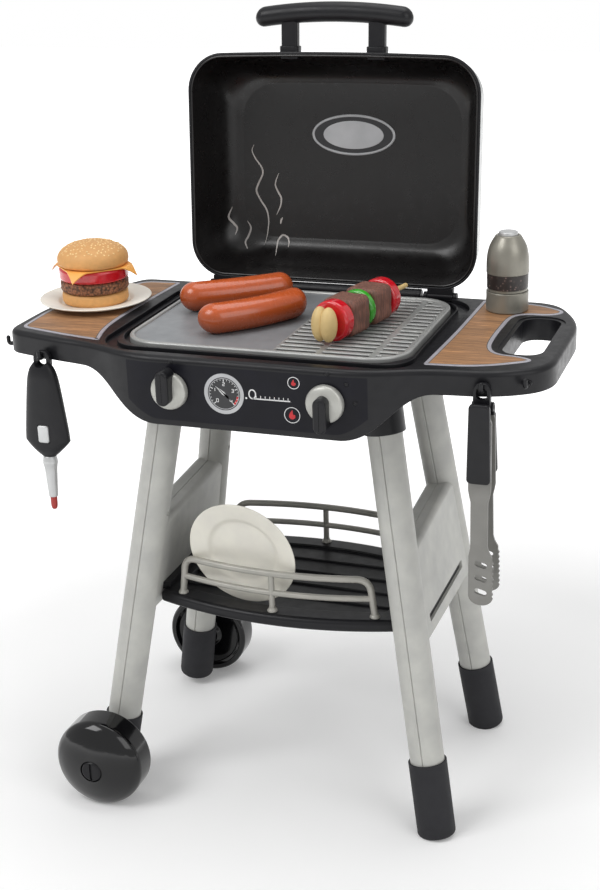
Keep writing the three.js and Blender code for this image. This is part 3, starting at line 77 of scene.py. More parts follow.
def curve(points: Sequence[Sequence[float]], steps: int) -> list[Vector]:
    """Draws a smooth open curve through points.

    Args:
        points: The points, of two or three numbers each.
        steps: Steps from one point to the next.

    Returns:
        The points of the curve, ends included.
    """
    rows = [Vector(p) for p in points]
    ends = [2 * rows[0] - rows[1], *rows, 2 * rows[-1] - rows[-2]]
    out = []
    for a, b, c, d in zip(ends, ends[1:], ends[2:], ends[3:]):
        for i in range(steps):
            t = i / steps
            bend, twist = 2 * a - 5 * b + 4 * c - d, 3 * b - a - 3 * c + d
            out.append(0.5 * (2 * b + (c - a) * t + bend * t**2 + twist * t**3))
    return [*out, rows[-1]]


def softened(rows: Sequence[tuple[float, float, float]], steps: int = 8) -> Loop:
    """Rounds each corner of a closed outline over the reach in its row."""
    out: Loop = []
    count = len(rows)
    for i, (x, y, reach) in enumerate(rows):
        corner = Vector((x, y))
        before, after = (Vector(rows[(i + k) % count][:2]) for k in (-1, 1))
        start = corner.lerp(before, min(reach / (corner - before).length, 0.48))
        end = corner.lerp(after, min(reach / (corner - after).length, 0.48))
        for k in range(steps + 1):
            t = k / steps
            point = start * (1 - t) ** 2 + corner * (2 * t * (1 - t)) + end * t**2
            out.append((point.x, point.y))
    return out


def rounded(x0: float, x1: float, y0: float, y1: float, radius: float, steps: int = 8) -> Loop:
    """Gives a rectangle with round corners, anticlockwise."""
    out: Loop = []
    for quarter, (x, y) in enumerate((
        (x1 - radius, y1 - radius), (x0 + radius, y1 - radius), (x0 + radius, y0 + radius),
        (x1 - radius, y0 + radius),
    )):
        for i in range(steps + 1):
            angle = (quarter + i / steps) * math.pi / 2
            out.append((x + radius * math.cos(angle), y + radius * math.sin(angle)))
    return out


def circle(radius: float, sides: int = 48, x: float = 0.0, y: float = 0.0) -> Loop:
    """Gives a circle, anticlockwise."""
    return [
        (x + radius * math.cos(2 * math.pi * i / sides), y + radius * math.sin(2 * math.pi * i / sides))
        for i in range(sides)
    ]


def inset(outline: Loop, depth: float) -> Loop:
    """Moves each side of a closed outline inward by a depth."""
    out: Loop = []
    for i, point in enumerate(outline):
        here = Vector(point)
        a = (here - Vector(outline[i - 1])).normalized()
        b = (Vector(outline[(i + 1) % len(outline)]) - here).normalized()
        if a.length < 0.5:
            a = b
        if b.length < 0.5:
            b = a
        inward = Vector((-a.y - b.y, a.x + b.x))
        moved = here + inward * (depth / max(1 + a.dot(b), 0.3))
        out.append((moved.x, moved.y))
    return out


def spaced(outline: Loop, step: float) -> Loop:
    """Adds points to the long sides of a closed outline."""
    out: Loop = []
    for i, point in enumerate(outline):
        here, after = Vector(point), Vector(outline[(i + 1) % len(outline)])
        if (after - here).length < 1e-4:
            continue
        parts = max(1, math.ceil((after - here).length / step))
        for k in range(parts):
            mid = here.lerp(after, k / parts)
            out.append((mid.x, mid.y))
    return out


def ring(outline: Loop, height: float) -> Ring:
    """Lifts an outline to a height."""
    return [Vector((x, y, height)) for x, y in outline]


def bent(points: Sequence[Sequence[float]], radius: float, steps: int = 6) -> list[Vector]:
    """Rounds the inner corners of an open route."""
    rows = [Vector(p) for p in points]
    out = [rows[0]]
    for before, corner, after in zip(rows, rows[1:], rows[2:]):
        start = corner + (before - corner).normalized() * radius
        end = corner + (after - corner).normalized() * radius
        for t in (k / steps for k in range(steps + 1)):
            out.append(start * (1 - t) ** 2 + corner * (2 * t * (1 - t)) + end * t**2)
    return [*out, rows[-1]]


# ---------------------------------------------------------------- shapes

class Shape:
    """One mesh in the making, with a finish index for each face."""

    def __init__(self) -> None:
        """Starts with no points and no faces."""
        self.points: list[Vector] = []
        self.faces: list[tuple[int, ...]] = []
        self.slots: list[int] = []

    def add(self, points: Iterable[Vector], faces: Iterable[Sequence[int]], slot: int = 0) -> Shape:
        """Adds faces with their own points."""
        base = len(self.points)
        self.points += [Vector(p) for p in points]
        for face in faces:
            self.faces.append(tuple(base + i for i in face))
            self.slots.append(slot)
        return self

    def loft(self, rings: Sequence[Ring], slot: int = 0, start: bool = True, end: bool = True) -> Shape:
        """Joins closed rings of as many points each, with flat ends where asked."""
        count = len(rings[0])
        faces: list[Sequence[int]] = []
        for k in range(len(rings) - 1):
            for i in range(count):
                j = (i + 1) % count
                faces.append((k * count + i, k * count + j, (k + 1) * count + j, (k + 1) * count + i))
        if start:
            faces.append(tuple(range(count))[::-1])
        if end:
            faces.append(tuple((len(rings) - 1) * count + i for i in range(count)))
        return self.add([p for r in rings for p in r], faces, slot)

    def flat(self, outer: Ring, holes: Sequence[Ring] = (), slot: int = 0) -> Shape:
        """Fills a flat outline around its holes."""
        loops = [outer, *holes]
        return self.add([p for loop in loops for p in loop], tessellate_polygon(loops), slot)

    def pad(self, outline: Loop, low: float, high: float, top: float = 0.0, bottom: float = 0.0,
            slot: int = 0, steps: int = 4) -> Shape:
        """Extrudes an outline upward with a rounded top and bottom edge."""
        rings = []
        if bottom > 0:
            for k in range(steps):
                angle = k / steps * math.pi / 2
                rings.append(ring(
                    inset(outline, bottom * (1 - math.sin(angle))), low + bottom * (1 - math.cos(angle))
                ))
        rings.append(ring(outline, low + bottom))
        rings.append(ring(outline, high - top))
        if top > 0:
            for k in range(1, steps + 1):
                angle = k / steps * math.pi / 2
                rings.append(ring(
                    inset(outline, top * (1 - math.cos(angle))), high - top * (1 - math.sin(angle))
                ))
        return self.loft(rings, slot)

    def turn(self, profile: Sequence[Pair], sides: int = 64, slot: int = 0) -> Shape:
        """Turns a profile of radius and height rows about the Z axis."""
        points: list[Vector] = []
        rows: list[list[int]] = []
        for radius, height in profile:
            count = 1 if radius < 1e-6 else sides
            rows.append(list(range(len(points), len(points) + count)))
            points += [
                Vector((
                    radius * math.cos(2 * math.pi * i / sides), radius * math.sin(2 * math.pi * i / sides),
                    height
                ))
                for i in range(count)
            ]
        faces: list[Sequence[int]] = []
        for low, high in zip(rows, rows[1:]):
            for i in range(sides):
                j = (i + 1) % sides
                face = [low[i % len(low)], low[j % len(low)], high[j % len(high)], high[i % len(high)]]
                kept = list(dict.fromkeys(face))
                if len(kept) > 2:
                    faces.append(kept)
        return self.add(points, faces, slot)

    def tube(self, path: Sequence[Vector], radius: float | Sequence[float], sides: int = 16,
             slot: int = 0) -> Shape:
        """Sweeps a circle along a path, with flat ends."""
        radii = [radius] * len(path) if isinstance(radius, (int, float)) else list(radius)
        rings = []
        side = Vector()
        for i, point in enumerate(path):
            ahead = (path[min(i + 1, len(path) - 1)] - path[max(i - 1, 0)]).normalized()
            if side.length < 0.5:
                side = ahead.orthogonal().normalized()
            side = (side - ahead * side.dot(ahead)).normalized()
            other = ahead.cross(side)
            rings.append([point + radii[i] * (side * c + other * s) for c, s in circle(1.0, sides)])
        return self.loft(rings, slot)

    def ball(self, centre: Sequence[float], size: Sequence[float], sides: int = 24, slot: int = 0) -> Shape:
        """Adds an ellipsoid."""
        rows = sides // 2
        profile = [(math.sin(math.pi * k / rows), -math.cos(math.pi * k / rows)) for k in range(rows + 1)]
        part = Shape().turn(
            [(r if 0 < k < rows else 0.0, h) for k, (r, h) in enumerate(profile)], sides, slot
        )
        return self.join(part.moved(Matrix.Translation(centre) @ Matrix.Diagonal((*size, 1))))

    def moved(self, matrix: Matrix) -> Shape:
        """Moves every point by a matrix."""
        self.points = [matrix @ p for p in self.points]
        if matrix.determinant() < 0:
            self.faces = [face[::-1] for face in self.faces]
        return self

    def join(self, *others: Shape) -> Shape:
        """Takes in other shapes."""
        for other in others:
            base = len(self.points)
            self.points += [p.copy() for p in other.points]
            self.faces += [tuple(base + i for i in face) for face in other.faces]
            self.slots += other.slots
        return self

    def bowed(self, change: Callable[[Vector], Vector]) -> Shape:
        """Moves each point by a rule."""
        self.points = [change(p) for p in self.points]
        return self

    def mesh(self, name: str, outward: bool = True) -> bpy.types.Mesh:
        """Makes the Blender mesh, in metres in the frame of the part."""
        mesh = bpy.data.meshes.new(name)
        mesh.from_pydata([(p + STAND) * MM for p in self.points], [], self.faces)
        mesh.polygons.foreach_set("material_index", self.slots)
        work = bmesh.new()
        work.from_mesh(mesh)
        bmesh.ops.remove_doubles(work, verts=work.verts, dist=2e-6)
        bmesh.ops.dissolve_degenerate(work, edges=work.edges, dist=1e-7)
        if outward:
            bmesh.ops.recalc_face_normals(work, faces=work.faces)
        work.to_mesh(mesh)
        work.free()
        return mesh


def shifted(x: float, y: float, z: float) -> Matrix:
    """A move by millimetres."""
    return Matrix.Translation((x, y, z))


def spun(degrees: float, axis: str) -> Matrix:
    """A turn about an axis through the origin."""
    return Matrix.Rotation(math.radians(degrees), 4, axis)


FLIP = Matrix.Diagonal((-1, 1, 1, 1))


def carved(mesh: bpy.types.Mesh, tools: Sequence[Shape]) -> bpy.types.Mesh:
    """Cuts closed shapes out of a closed mesh.

    Args:
        mesh: The mesh to cut.
        tools: The shapes to take away.

    Returns:
        A new mesh with the cuts.
    """
    base = bpy.data.objects.new("carving", mesh)
    bpy.context.scene.collection.objects.link(base)
    cutters = []
    for i, tool in enumerate(tools):
        cutter = bpy.data.objects.new(f"cutter_{i}", tool.mesh(f"cutter_{i}"))
        bpy.context.scene.collection.objects.link(cutter)
        cutters.append(cutter)
        step = base.modifiers.new(f"cut_{i}", "BOOLEAN")
        step.operation, step.solver, step.object = "DIFFERENCE", "EXACT", cutter
    bpy.context.view_layer.update()
    graph = bpy.context.evaluated_depsgraph_get()
    result = bpy.data.meshes.new_from_object(base.evaluated_get(graph))
    for extra in (base, *cutters):
        bpy.data.objects.remove(extra)
    return result


def united(name: str, *parts: tuple[bpy.types.Mesh, int]) -> bpy.types.Mesh:
    """Puts meshes into one, each with its own face index.

    Args:
        name: The new mesh's name.
        parts: Each mesh with the index of its finish.

    Returns:
        The mesh of all parts.
    """
    merged = bmesh.new()
    for part, slot in parts:
        part.polygons.foreach_set("material_index", [slot] * len(part.polygons))
        merged.from_mesh(part)
    whole = bpy.data.meshes.new(name)
    merged.to_mesh(whole)
    merged.free()
    return whole


def placed(name: str, shape: Shape | bpy.types.Mesh, body: str, finishes: Sequence[Finish],
           nodes: Sequence[str] = (), sharp: float = 35.0) -> bpy.types.Object:
    """Makes a piece, dresses it and hangs it on its body.

    Args:
        name: The piece's name.
        shape: Its shape, or a finished mesh.
        body: The CAD body that it rides on.
        finishes: One finish for each face index.
        nodes: The CAD nodes that it stands for.
        sharp: Edges that bend more than this stay sharp, in degrees.

    Returns:
        The new object.
    """
    mesh = shape.mesh(name) if isinstance(shape, Shape) else shape
    mesh.name = name
    used = [min(face.material_index, len(finishes) - 1) for face in mesh.polygons]
    mesh.materials.clear()
    for finish in finishes:
        mesh.materials.append(finish.material())
    mesh.polygons.foreach_set("material_index", used)
    mesh.polygons.foreach_set("use_smooth", [True] * len(mesh.polygons))
    mesh.set_sharp_from_angle(angle=math.radians(sharp))
    piece = bpy.data.objects.new(name, mesh)
    bpy.context.scene.collection.objects.link(piece)
    weights = piece.modifiers.new("even_shading", "WEIGHTED_NORMAL")
    weights.keep_sharp = True
    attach(piece, body)
    if nodes:
        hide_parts(*nodes)
    return piece


# ---------------------------------------------------------------- finishes

def linear(code: str) -> tuple[float, float, float, float]:
    """Turns a hex colour of the screen into a scene colour."""
    values = [int(code[i:i + 2], 16) / 255 for i in (0, 2, 4)]
    return (*[v / 12.92 if v <= 0.04045 else ((v + 0.055) / 1.055) ** 2.4 for v in values], 1.0)


class Look(Enum):
    """What a finish shows besides its colour."""

    MOULDED = "moulded"
    WOOD = "wood"
    CRUMB = "crumb"
    PATTY = "patty"
    MEAT = "meat"
    SAUSAGE = "sausage"
    TOMATO = "tomato"
    LABEL = "label"
    PRINT = "print"


class Net:
    """The nodes of one material, in the making."""

    def __init__(self, name: str) -> None:
        """Makes an empty material by its name."""
        self.material = bpy.data.materials.new(name)
        self.material.use_nodes = True
        self.tree = self.material.node_tree
        self.shader = self.tree.nodes["Principled BSDF"]
        self.place = self.node("ShaderNodeTexCoord").outputs["Object"]

    def node(self, kind: str, links: dict[str | int, bpy.types.NodeSocket] | None = None,
             **values: object) -> bpy.types.Node:
        """Adds a node; values that name an input set it, and the rest set the node."""
        node = self.tree.nodes.new(kind)
        for key, value in values.items():
            if hasattr(node, key):
                setattr(node, key, value)
            else:
                node.inputs[key.replace("_", " ")].default_value = value
        for key, socket in (links or {}).items():
            self.tree.links.new(socket, node.inputs[key])
        return node

    def link(self, socket: bpy.types.NodeSocket, name: str) -> None:
        """Feeds a socket of the shader."""
        self.tree.links.new(socket, self.shader.inputs[name])

    def noise(self, size: float, detail: float = 3.0, stretch: Sequence[float] = (1, 1, 1),
              twist: float = 0.0) -> bpy.types.NodeSocket:
        """Gives noise whose features are about a size in millimetres."""
        spread = self.node("ShaderNodeMapping", {"Vector": self.place}, Scale=Vector(stretch) / (size * MM))
        return self.node(
            "ShaderNodeTexNoise", {"Vector": spread.outputs[0]}, Scale=1.0, Detail=detail, Distortion=twist,
        ).outputs["Fac"]

    def cells(self, size: float, stretch: Sequence[float] = (1, 1, 1)) -> bpy.types.NodeSocket:
        """Gives the distance to the nearest of scattered points, about a size apart."""
        spread = self.node("ShaderNodeMapping", {"Vector": self.place}, Scale=Vector(stretch) / (size * MM))
        return self.node("ShaderNodeTexVoronoi", {"Vector": spread.outputs[0]}, Scale=1.0).outputs["Distance"]

    def ramp(self, socket: bpy.types.NodeSocket, stops: Sequence[tuple[float, str]]) -> bpy.types.NodeSocket:
        """Turns a value into colours."""
        node = self.node("ShaderNodeValToRGB", {"Fac": socket})
        rows = node.color_ramp.elements
        while len(rows) < len(stops):
            rows.new(0.5)
        for row, (at, code) in zip(rows, stops):
            row.position, row.color = at, linear(code)
        return node.outputs["Color"]

    def between(self, socket: bpy.types.NodeSocket, low: float, high: float, start: float = 0.3,
                stop: float = 0.7) -> bpy.types.NodeSocket:
        """Maps a value's usual range onto another range."""
        return self.node(
            "ShaderNodeMapRange", {"Value": socket}, From_Min=start, From_Max=stop, To_Min=low, To_Max=high,
        ).outputs[0]

    def mixed(self, fac: bpy.types.NodeSocket, a: bpy.types.NodeSocket | str,
              b: bpy.types.NodeSocket | str) -> bpy.types.NodeSocket:
        """Mixes two colours, each a socket or a hex code."""
        node = self.node("ShaderNodeMix", {0: fac}, data_type="RGBA")
        for index, side in ((6, a), (7, b)):
            if isinstance(side, str):
                node.inputs[index].default_value = linear(side)
            else:
                self.tree.links.new(side, node.inputs[index])
        return node.outputs[2]

    def height(self) -> bpy.types.NodeSocket:
        """Gives the height above the floor in metres."""
        return self.node("ShaderNodeSeparateXYZ", {"Vector": self.place}).outputs["Z"]

    def bump(self, socket: bpy.types.NodeSocket, depth: float) -> None:
        """Raises the surface by a depth in millimetres where the value is high."""
        node = self.node("ShaderNodeBump", {"Height": socket}, Distance=depth * MM, Strength=1.0)
        self.link(node.outputs[0], "Normal")


def scaled(code: str, factor: float) -> str:
    """Makes a hex colour lighter or darker."""
    return "".join(f"{min(255, round(int(code[i:i + 2], 16) * factor)):02x}" for i in (0, 2, 4))


@dataclass(frozen=True)
class Finish:
    """One material of the toy.

    Attributes:
        name: The material's name.
        color: Its colour on the screen.
        rough: Its roughness.
        metal: How metallic it is.
        coat: The strength of a clear coat.
        spec: How strongly the surface mirrors.
        bump: Depth of its fine texture in millimetres.
        grain: Size of that texture in millimetres.
        mottle: How much its colour varies.
        look: What else it shows.
    """

    name: str
    color: str
    rough: float = 0.45
    metal: float = 0.0
    coat: float = 0.0
    spec: float = 0.5
    bump: float = 0.02
    grain: float = 0.5
    mottle: float = 0.04
    look: Look = Look.MOULDED

    def material(self) -> bpy.types.Material:
        """Gives the material, made once."""
        found = bpy.data.materials.get(self.name)
        if found:
            return found
        net = Net(self.name)
        for key, value in (("Metallic", self.metal), ("Coat Weight", self.coat), ("Coat Roughness", 0.08),
                           ("Specular IOR Level", self.spec)):
            net.shader.inputs[key].default_value = value
        painters: dict[Look, Callable[[Net], None]] = {
            Look.MOULDED: self.moulded, Look.WOOD: self.wood, Look.CRUMB: self.crumb, Look.PATTY: self.patty,
            Look.MEAT: self.meat, Look.SAUSAGE: self.sausage, Look.TOMATO: self.tomato, Look.LABEL: self.label,
            Look.PRINT: self.moulded,
        }
        painters[self.look](net)
        return net.material

    def tinted(self, net: Net, size: float) -> bpy.types.NodeSocket:
        """Varies the colour a little over patches of a size."""
        return net.mixed(
            net.between(net.noise(size), 0, 1), scaled(self.color, 1 - self.mottle),
            scaled(self.color, 1 + self.mottle)
        )

    def moulded(self, net: Net) -> None:
        """Moulded plastic: faint patches, uneven gloss and a fine skin."""
        fine = net.noise(self.grain, 4)
        net.link(self.tinted(net, 24), "Base Color")
        net.link(net.between(net.noise(9), self.rough - 0.05, self.rough + 0.06), "Roughness")
        net.bump(fine, self.bump)

    def wood(self, net: Net) -> None:
        """Printed oak: long fibres along X, darker pores and broad bands."""
        bands = net.noise(9, 3, (0.09, 1, 1), 0.6)
        fibres = net.noise(0.9, 4, (0.045, 1, 1), 0.3)
        pores = net.noise(0.7, 2, (0.08, 1, 1))
        tone = net.ramp(
            bands, [(0.3, scaled(self.color, 0.8)), (0.5, self.color), (0.68, scaled(self.color, 1.14))]
        )
        streaks = net.mixed(net.between(fibres, 0, 0.75, 0.38, 0.66), tone, scaled(self.color, 0.66))
        net.link(
            net.mixed(net.between(pores, 0, 0.7, 0.6, 0.72), streaks, scaled(self.color, 0.45)), "Base Color"
        )
        net.link(net.between(fibres, self.rough - 0.05, self.rough + 0.08), "Roughness")
        net.bump(fibres, self.bump)

    def crumb(self, net: Net) -> None:
        """Baked bun: paler low down, browner on top, with a fine crust."""
        top = net.node("ShaderNodeNewGeometry").outputs["Normal"]
        upward = net.node("ShaderNodeSeparateXYZ", {"Vector": top}).outputs["Z"]
        crust = net.mixed(
            net.between(upward, 0, 1, -0.1, 0.95), scaled(self.color, 1.05), scaled(self.color, 0.93)
        )
        net.link(net.mixed(net.between(net.noise(5), 0, 0.35), crust, scaled(self.color, 0.84)), "Base Color")
        net.link(net.between(net.noise(2), self.rough - 0.06, self.rough + 0.06), "Roughness")
        net.bump(net.noise(self.grain, 5), self.bump)

    def patty(self, net: Net) -> None:
        """Minced meat: lumps, with painted shade in the hollows between them and paler lump tops."""
        lumps_and_shade = net.cells(2.4)
        # Painted shade: the cells that raise the lumps also darken the colour towards the hollows and lighten
        # it on the lump tops.
        net.link(
            net.ramp(
                lumps_and_shade, [(0.1, scaled(self.color, 1.25)), (0.45, self.color), (0.8, scaled(self.color, 0.5))]
            ),
            "Base Color"
        )
        net.link(net.between(net.noise(1), self.rough - 0.1, self.rough + 0.1), "Roughness")
        net.bump(net.between(lumps_and_shade, 1, 0, 0, 0.9), self.bump)

    def meat(self, net: Net) -> None:
        """Grilled meat: upright fibres and browned patches."""
        fibres = net.noise(1.6, 4, (1, 1, 0.12), 0.4)
        tone = net.ramp(
            fibres, [(0.3, scaled(self.color, 0.72)), (0.52, self.color), (0.72, scaled(self.color, 1.3))]
        )
        net.link(net.mixed(net.between(net.noise(8), 0, 0.4), tone, scaled(self.color, 0.7)), "Base Color")
        net.link(net.between(fibres, self.rough - 0.08, self.rough + 0.08), "Roughness")
        net.bump(fibres, self.bump)

    def sausage(self, net: Net) -> None:
        """Grilled sausage: darker underneath as a painted shade, lighter on top, with a tight skin."""
        top = net.node("ShaderNodeNewGeometry").outputs["Normal"]
        upward = net.node("ShaderNodeSeparateXYZ", {"Vector": top}).outputs["Z"]
        # Painted shade: the skin colour darkens where the surface faces down and brightens where it faces up.
        skin = net.mixed(
            net.between(upward, 0, 1, -0.6, 0.7), scaled(self.color, 0.78), scaled(self.color, 1.06)
        )
        net.link(net.mixed(net.between(net.noise(6), 0, 0.3), skin, scaled(self.color, 0.85)), "Base Color")
        net.link(net.between(net.noise(4), self.rough - 0.05, self.rough + 0.06), "Roughness")
        net.bump(net.noise(self.grain, 3), self.bump)

    def tomato(self, net: Net) -> None:
        """Wet slice: red flesh with faint paler flecks."""
        flecks = net.noise(2.2, 2)
        net.link(
            net.mixed(net.between(flecks, 0, 0.35, 0.55, 0.75), self.color, scaled(self.color, 1.35)),
            "Base Color"
        )
        net.link(net.between(net.noise(5), self.rough - 0.05, self.rough + 0.05), "Roughness")
        net.bump(net.noise(self.grain, 2), self.bump)

    def label(self, net: Net) -> None:
        """Printed band: plain dark ground with scattered pale grains."""
        grains = net.cells(3.2)
        net.link(
            net.ramp(
                grains, [(0.12, scaled(self.color, 3.2)), (0.24, scaled(self.color, 1.5)), (0.5, self.color)]
            ),
            "Base Color"
        )
        net.link(net.between(net.noise(4), self.rough - 0.05, self.rough + 0.05), "Roughness")
        net.bump(net.noise(self.grain, 2), self.bump)


class Skin:
    """Every finish of the toy."""

    FRAME = Finish("silver_grey_plastic", "c0c0bb", 0.46, bump=0.03, grain=0.6)
    # Dark grey: the inlays' fine inner line, and a painted shade on the walls of the plate's slots below the
    # bars' edges.
    SEAM_AND_SLOT_SHADE = Finish("seam_shadow", "4a4a4a", 0.8)
    SLEEVE = Finish("charcoal_plastic", "2c2c2f", 0.62, spec=0.25, bump=0.05, grain=0.45)
    BLACK = Finish("black_plastic", "17171a", 0.36, spec=0.26, bump=0.025, grain=0.4, mottle=0.08)
    LINER = Finish("black_lid_lining", "151313", 0.3, spec=0.4, bump=0.02, grain=0.7, mottle=0.08)
    PANEL = Finish("panel_print", "18181e", 0.33, spec=0.14, bump=0.01, mottle=0.05)
    GLOSS = Finish(
        "gloss_black_plastic", "0b0b0d", 0.12, coat=0.35, spec=0.3, bump=0.004, grain=1.5, mottle=0.06
    )
    GRIDDLE = Finish("griddle_paint", "8b8e91", 0.42, metal=0.25, bump=0.015, grain=0.5)
    BARS = Finish("bar_paint", "a3a4a2", 0.36, metal=0.3, bump=0.01, grain=0.5)
    STEEL = Finish("silver_paint", "c2c3c3", 0.34, metal=0.45, bump=0.01, grain=0.5)
    DIAL = Finish("dial_silver", "b4b4ae", 0.36, metal=0.3, bump=0.01, grain=0.5)
    TOOL = Finish("tool_silver", "7d7c78", 0.42, metal=0.3, bump=0.012, grain=0.5)
    LID = Finish("lid_silver_paint", "c9cbca", 0.32, metal=0.35, bump=0.012, grain=0.5)
    RAIL = Finish("rail_paint", "a4a29b", 0.4, metal=0.2, bump=0.012)
    WOOD = Finish("printed_wood", "a97d56", 0.5, bump=0.03, look=Look.WOOD)
    BORDER = Finish("border_print", "a9a7ae", 0.4, metal=0.2, bump=0.006)
    DISH = Finish("plate_plastic", "ebe8dd", 0.34, bump=0.01, mottle=0.02)
    BUN = Finish("bun_crust", "e4ab6a", 0.6, bump=0.2, grain=1.1, look=Look.CRUMB)
    SEED = Finish("sesame", "f0cf96", 0.55, bump=0.03, mottle=0.08)
    PATTY = Finish("patty_mince", "8a5a3e", 0.62, bump=0.5, look=Look.PATTY)
    TOMATO = Finish("tomato_flesh", "cf1423", 0.2, coat=0.5, bump=0.05, grain=2.5, look=Look.TOMATO)
    CHEESE = Finish("cheese", "f2a441", 0.4, bump=0.04, grain=1.2, mottle=0.05)
    SAUSAGE = Finish(
        "sausage_skin", "bb5629", 0.24, coat=0.3, spec=0.4, bump=0.02, grain=2.4, look=Look.SAUSAGE
    )
    MEAT = Finish("grilled_meat", "7a5346", 0.58, bump=0.45, look=Look.MEAT)
    PEPPER = Finish("pepper_skin", "3aa328", 0.2, coat=0.5, bump=0.05, grain=2.5, mottle=0.1)
    CREAM = Finish("bread", "dcbf84", 0.5, bump=0.1, grain=1.4, mottle=0.06)
    MILL = Finish("champagne_paint", "8f8c82", 0.34, metal=0.45, bump=0.012)
    LABEL = Finish("mill_label", "2b2422", 0.35, bump=0.004, look=Look.LABEL)
    FLAME = Finish("red_tip", "a52a24", 0.35, bump=0.01, mottle=0.08)
    WHITE = Finish("white_print", "e9e9e9", 0.4, bump=0.003, look=Look.PRINT)
    SILVER = Finish("silver_print", "b2b3b5", 0.35, metal=0.2, bump=0.003, look=Look.PRINT)
    DARK = Finish("dark_print", "1a1a1d", 0.35, bump=0.003, look=Look.PRINT)
    RED = Finish("red_print", "c21f26", 0.4, bump=0.003, look=Look.PRINT)
    STEAM = Finish("steam_print", "b9b4b0", 0.42, bump=0.003, mottle=0.12, look=Look.PRINT)


# ---------------------------------------------------------------- more shapes

def fine_rect(x0: float, x1: float, y0: float, y1: float, radius: float, steps: int = 12,
              along: int = 12) -> Loop:
    """Gives a round-cornered rectangle whose straight sides have points too."""
    corners = rounded(x0, x1, y0, y1, radius, steps)
    out: Loop = []
    for quarter in range(4):
        arc = corners[quarter * (steps + 1):(quarter + 1) * (steps + 1)]
        after = Vector(corners[((quarter + 1) * (steps + 1)) % len(corners)])
        out += arc
        out += [tuple(Vector(arc[-1]).lerp(after, k / (along + 1))) for k in range(1, along + 1)]
    return out


def lathe(profile: Sequence[Pair], sides: int = 64, slot: int = 0) -> Shape:
    """Gives a turned body about the Z axis."""
    return Shape().turn(profile, sides, slot)


def soft_profile(rows: Sequence[tuple[float, float, float]], steps: int = 5) -> list[Pair]:
    """Rounds the corners of an open profile over the reach in each row."""
    points = [Vector(row[:2]) for row in rows]
    out: list[Pair] = [tuple(points[0])]
    for i in range(1, len(rows) - 1):
        corner, reach = points[i], rows[i][2]
        before, after = points[i - 1], points[i + 1]
        start = corner.lerp(before, min(reach / max((corner - before).length, 1e-6), 0.48))
        end = corner.lerp(after, min(reach / max((corner - after).length, 1e-6), 0.48))
        if reach <= 0:
            out.append(tuple(corner))
            continue
        for k in range(steps + 1):
            t = k / steps
            out.append(tuple(start * (1 - t) ** 2 + corner * (2 * t * (1 - t)) + end * t**2))
    return [*out, tuple(points[-1])]


def plank(outline: Loop, near: float, far: float, edge: float = 0.0, back: float | None = None,
          slot: int = 0) -> Shape:
    """Extrudes an outline of X and Z along Y with rounded edges; the back one can be told apart."""
    return Shape().pad(outline, -far, -near, edge, edge if back is None else back, slot).moved(Axis.Y.value)


def block(x0: float, x1: float, y0: float, y1: float, z0: float, z1: float, edge: float = 0.4,
          slot: int = 0) -> Shape:
    """Gives a block with rounded edges."""
    radius = min(edge, (x1 - x0) / 2.2, (y1 - y0) / 2.2)
    return Shape().pad(rounded(x0, x1, y0, y1, radius, 3), z0, z1, edge, edge, slot, 2)


def rod(radius: float, start: Sequence[float], end: Sequence[float], sides: int = 32, edge: float = 0.0,
        slot: int = 0) -> Shape:
    """Gives a round bar from one point to another, its end edges rounded."""
    a, b = Vector(start), Vector(end)
    length = (b - a).length
    rows = [(0.0, 0.0), (radius - edge, 0.0), (radius, edge)]
    rows += [(radius, length - edge), (radius - edge, length), (0.0, length)]
    turn = (b - a).to_track_quat("Z", "Y").to_matrix().to_4x4()
    return lathe(rows, sides, slot).moved(Matrix.Translation(a) @ turn)


def wobbled(shape: Shape, depth: float, size: float, seed: float = 0.0) -> Shape:
    """Moves points in and out by smooth noise, for food that isn't quite regular."""
    return shape.bowed(lambda p: p + depth * noise.noise_vector((p + Vector((seed, seed, seed))) / size))


# ---------------------------------------------------------------- side frames, sleeves and wheels

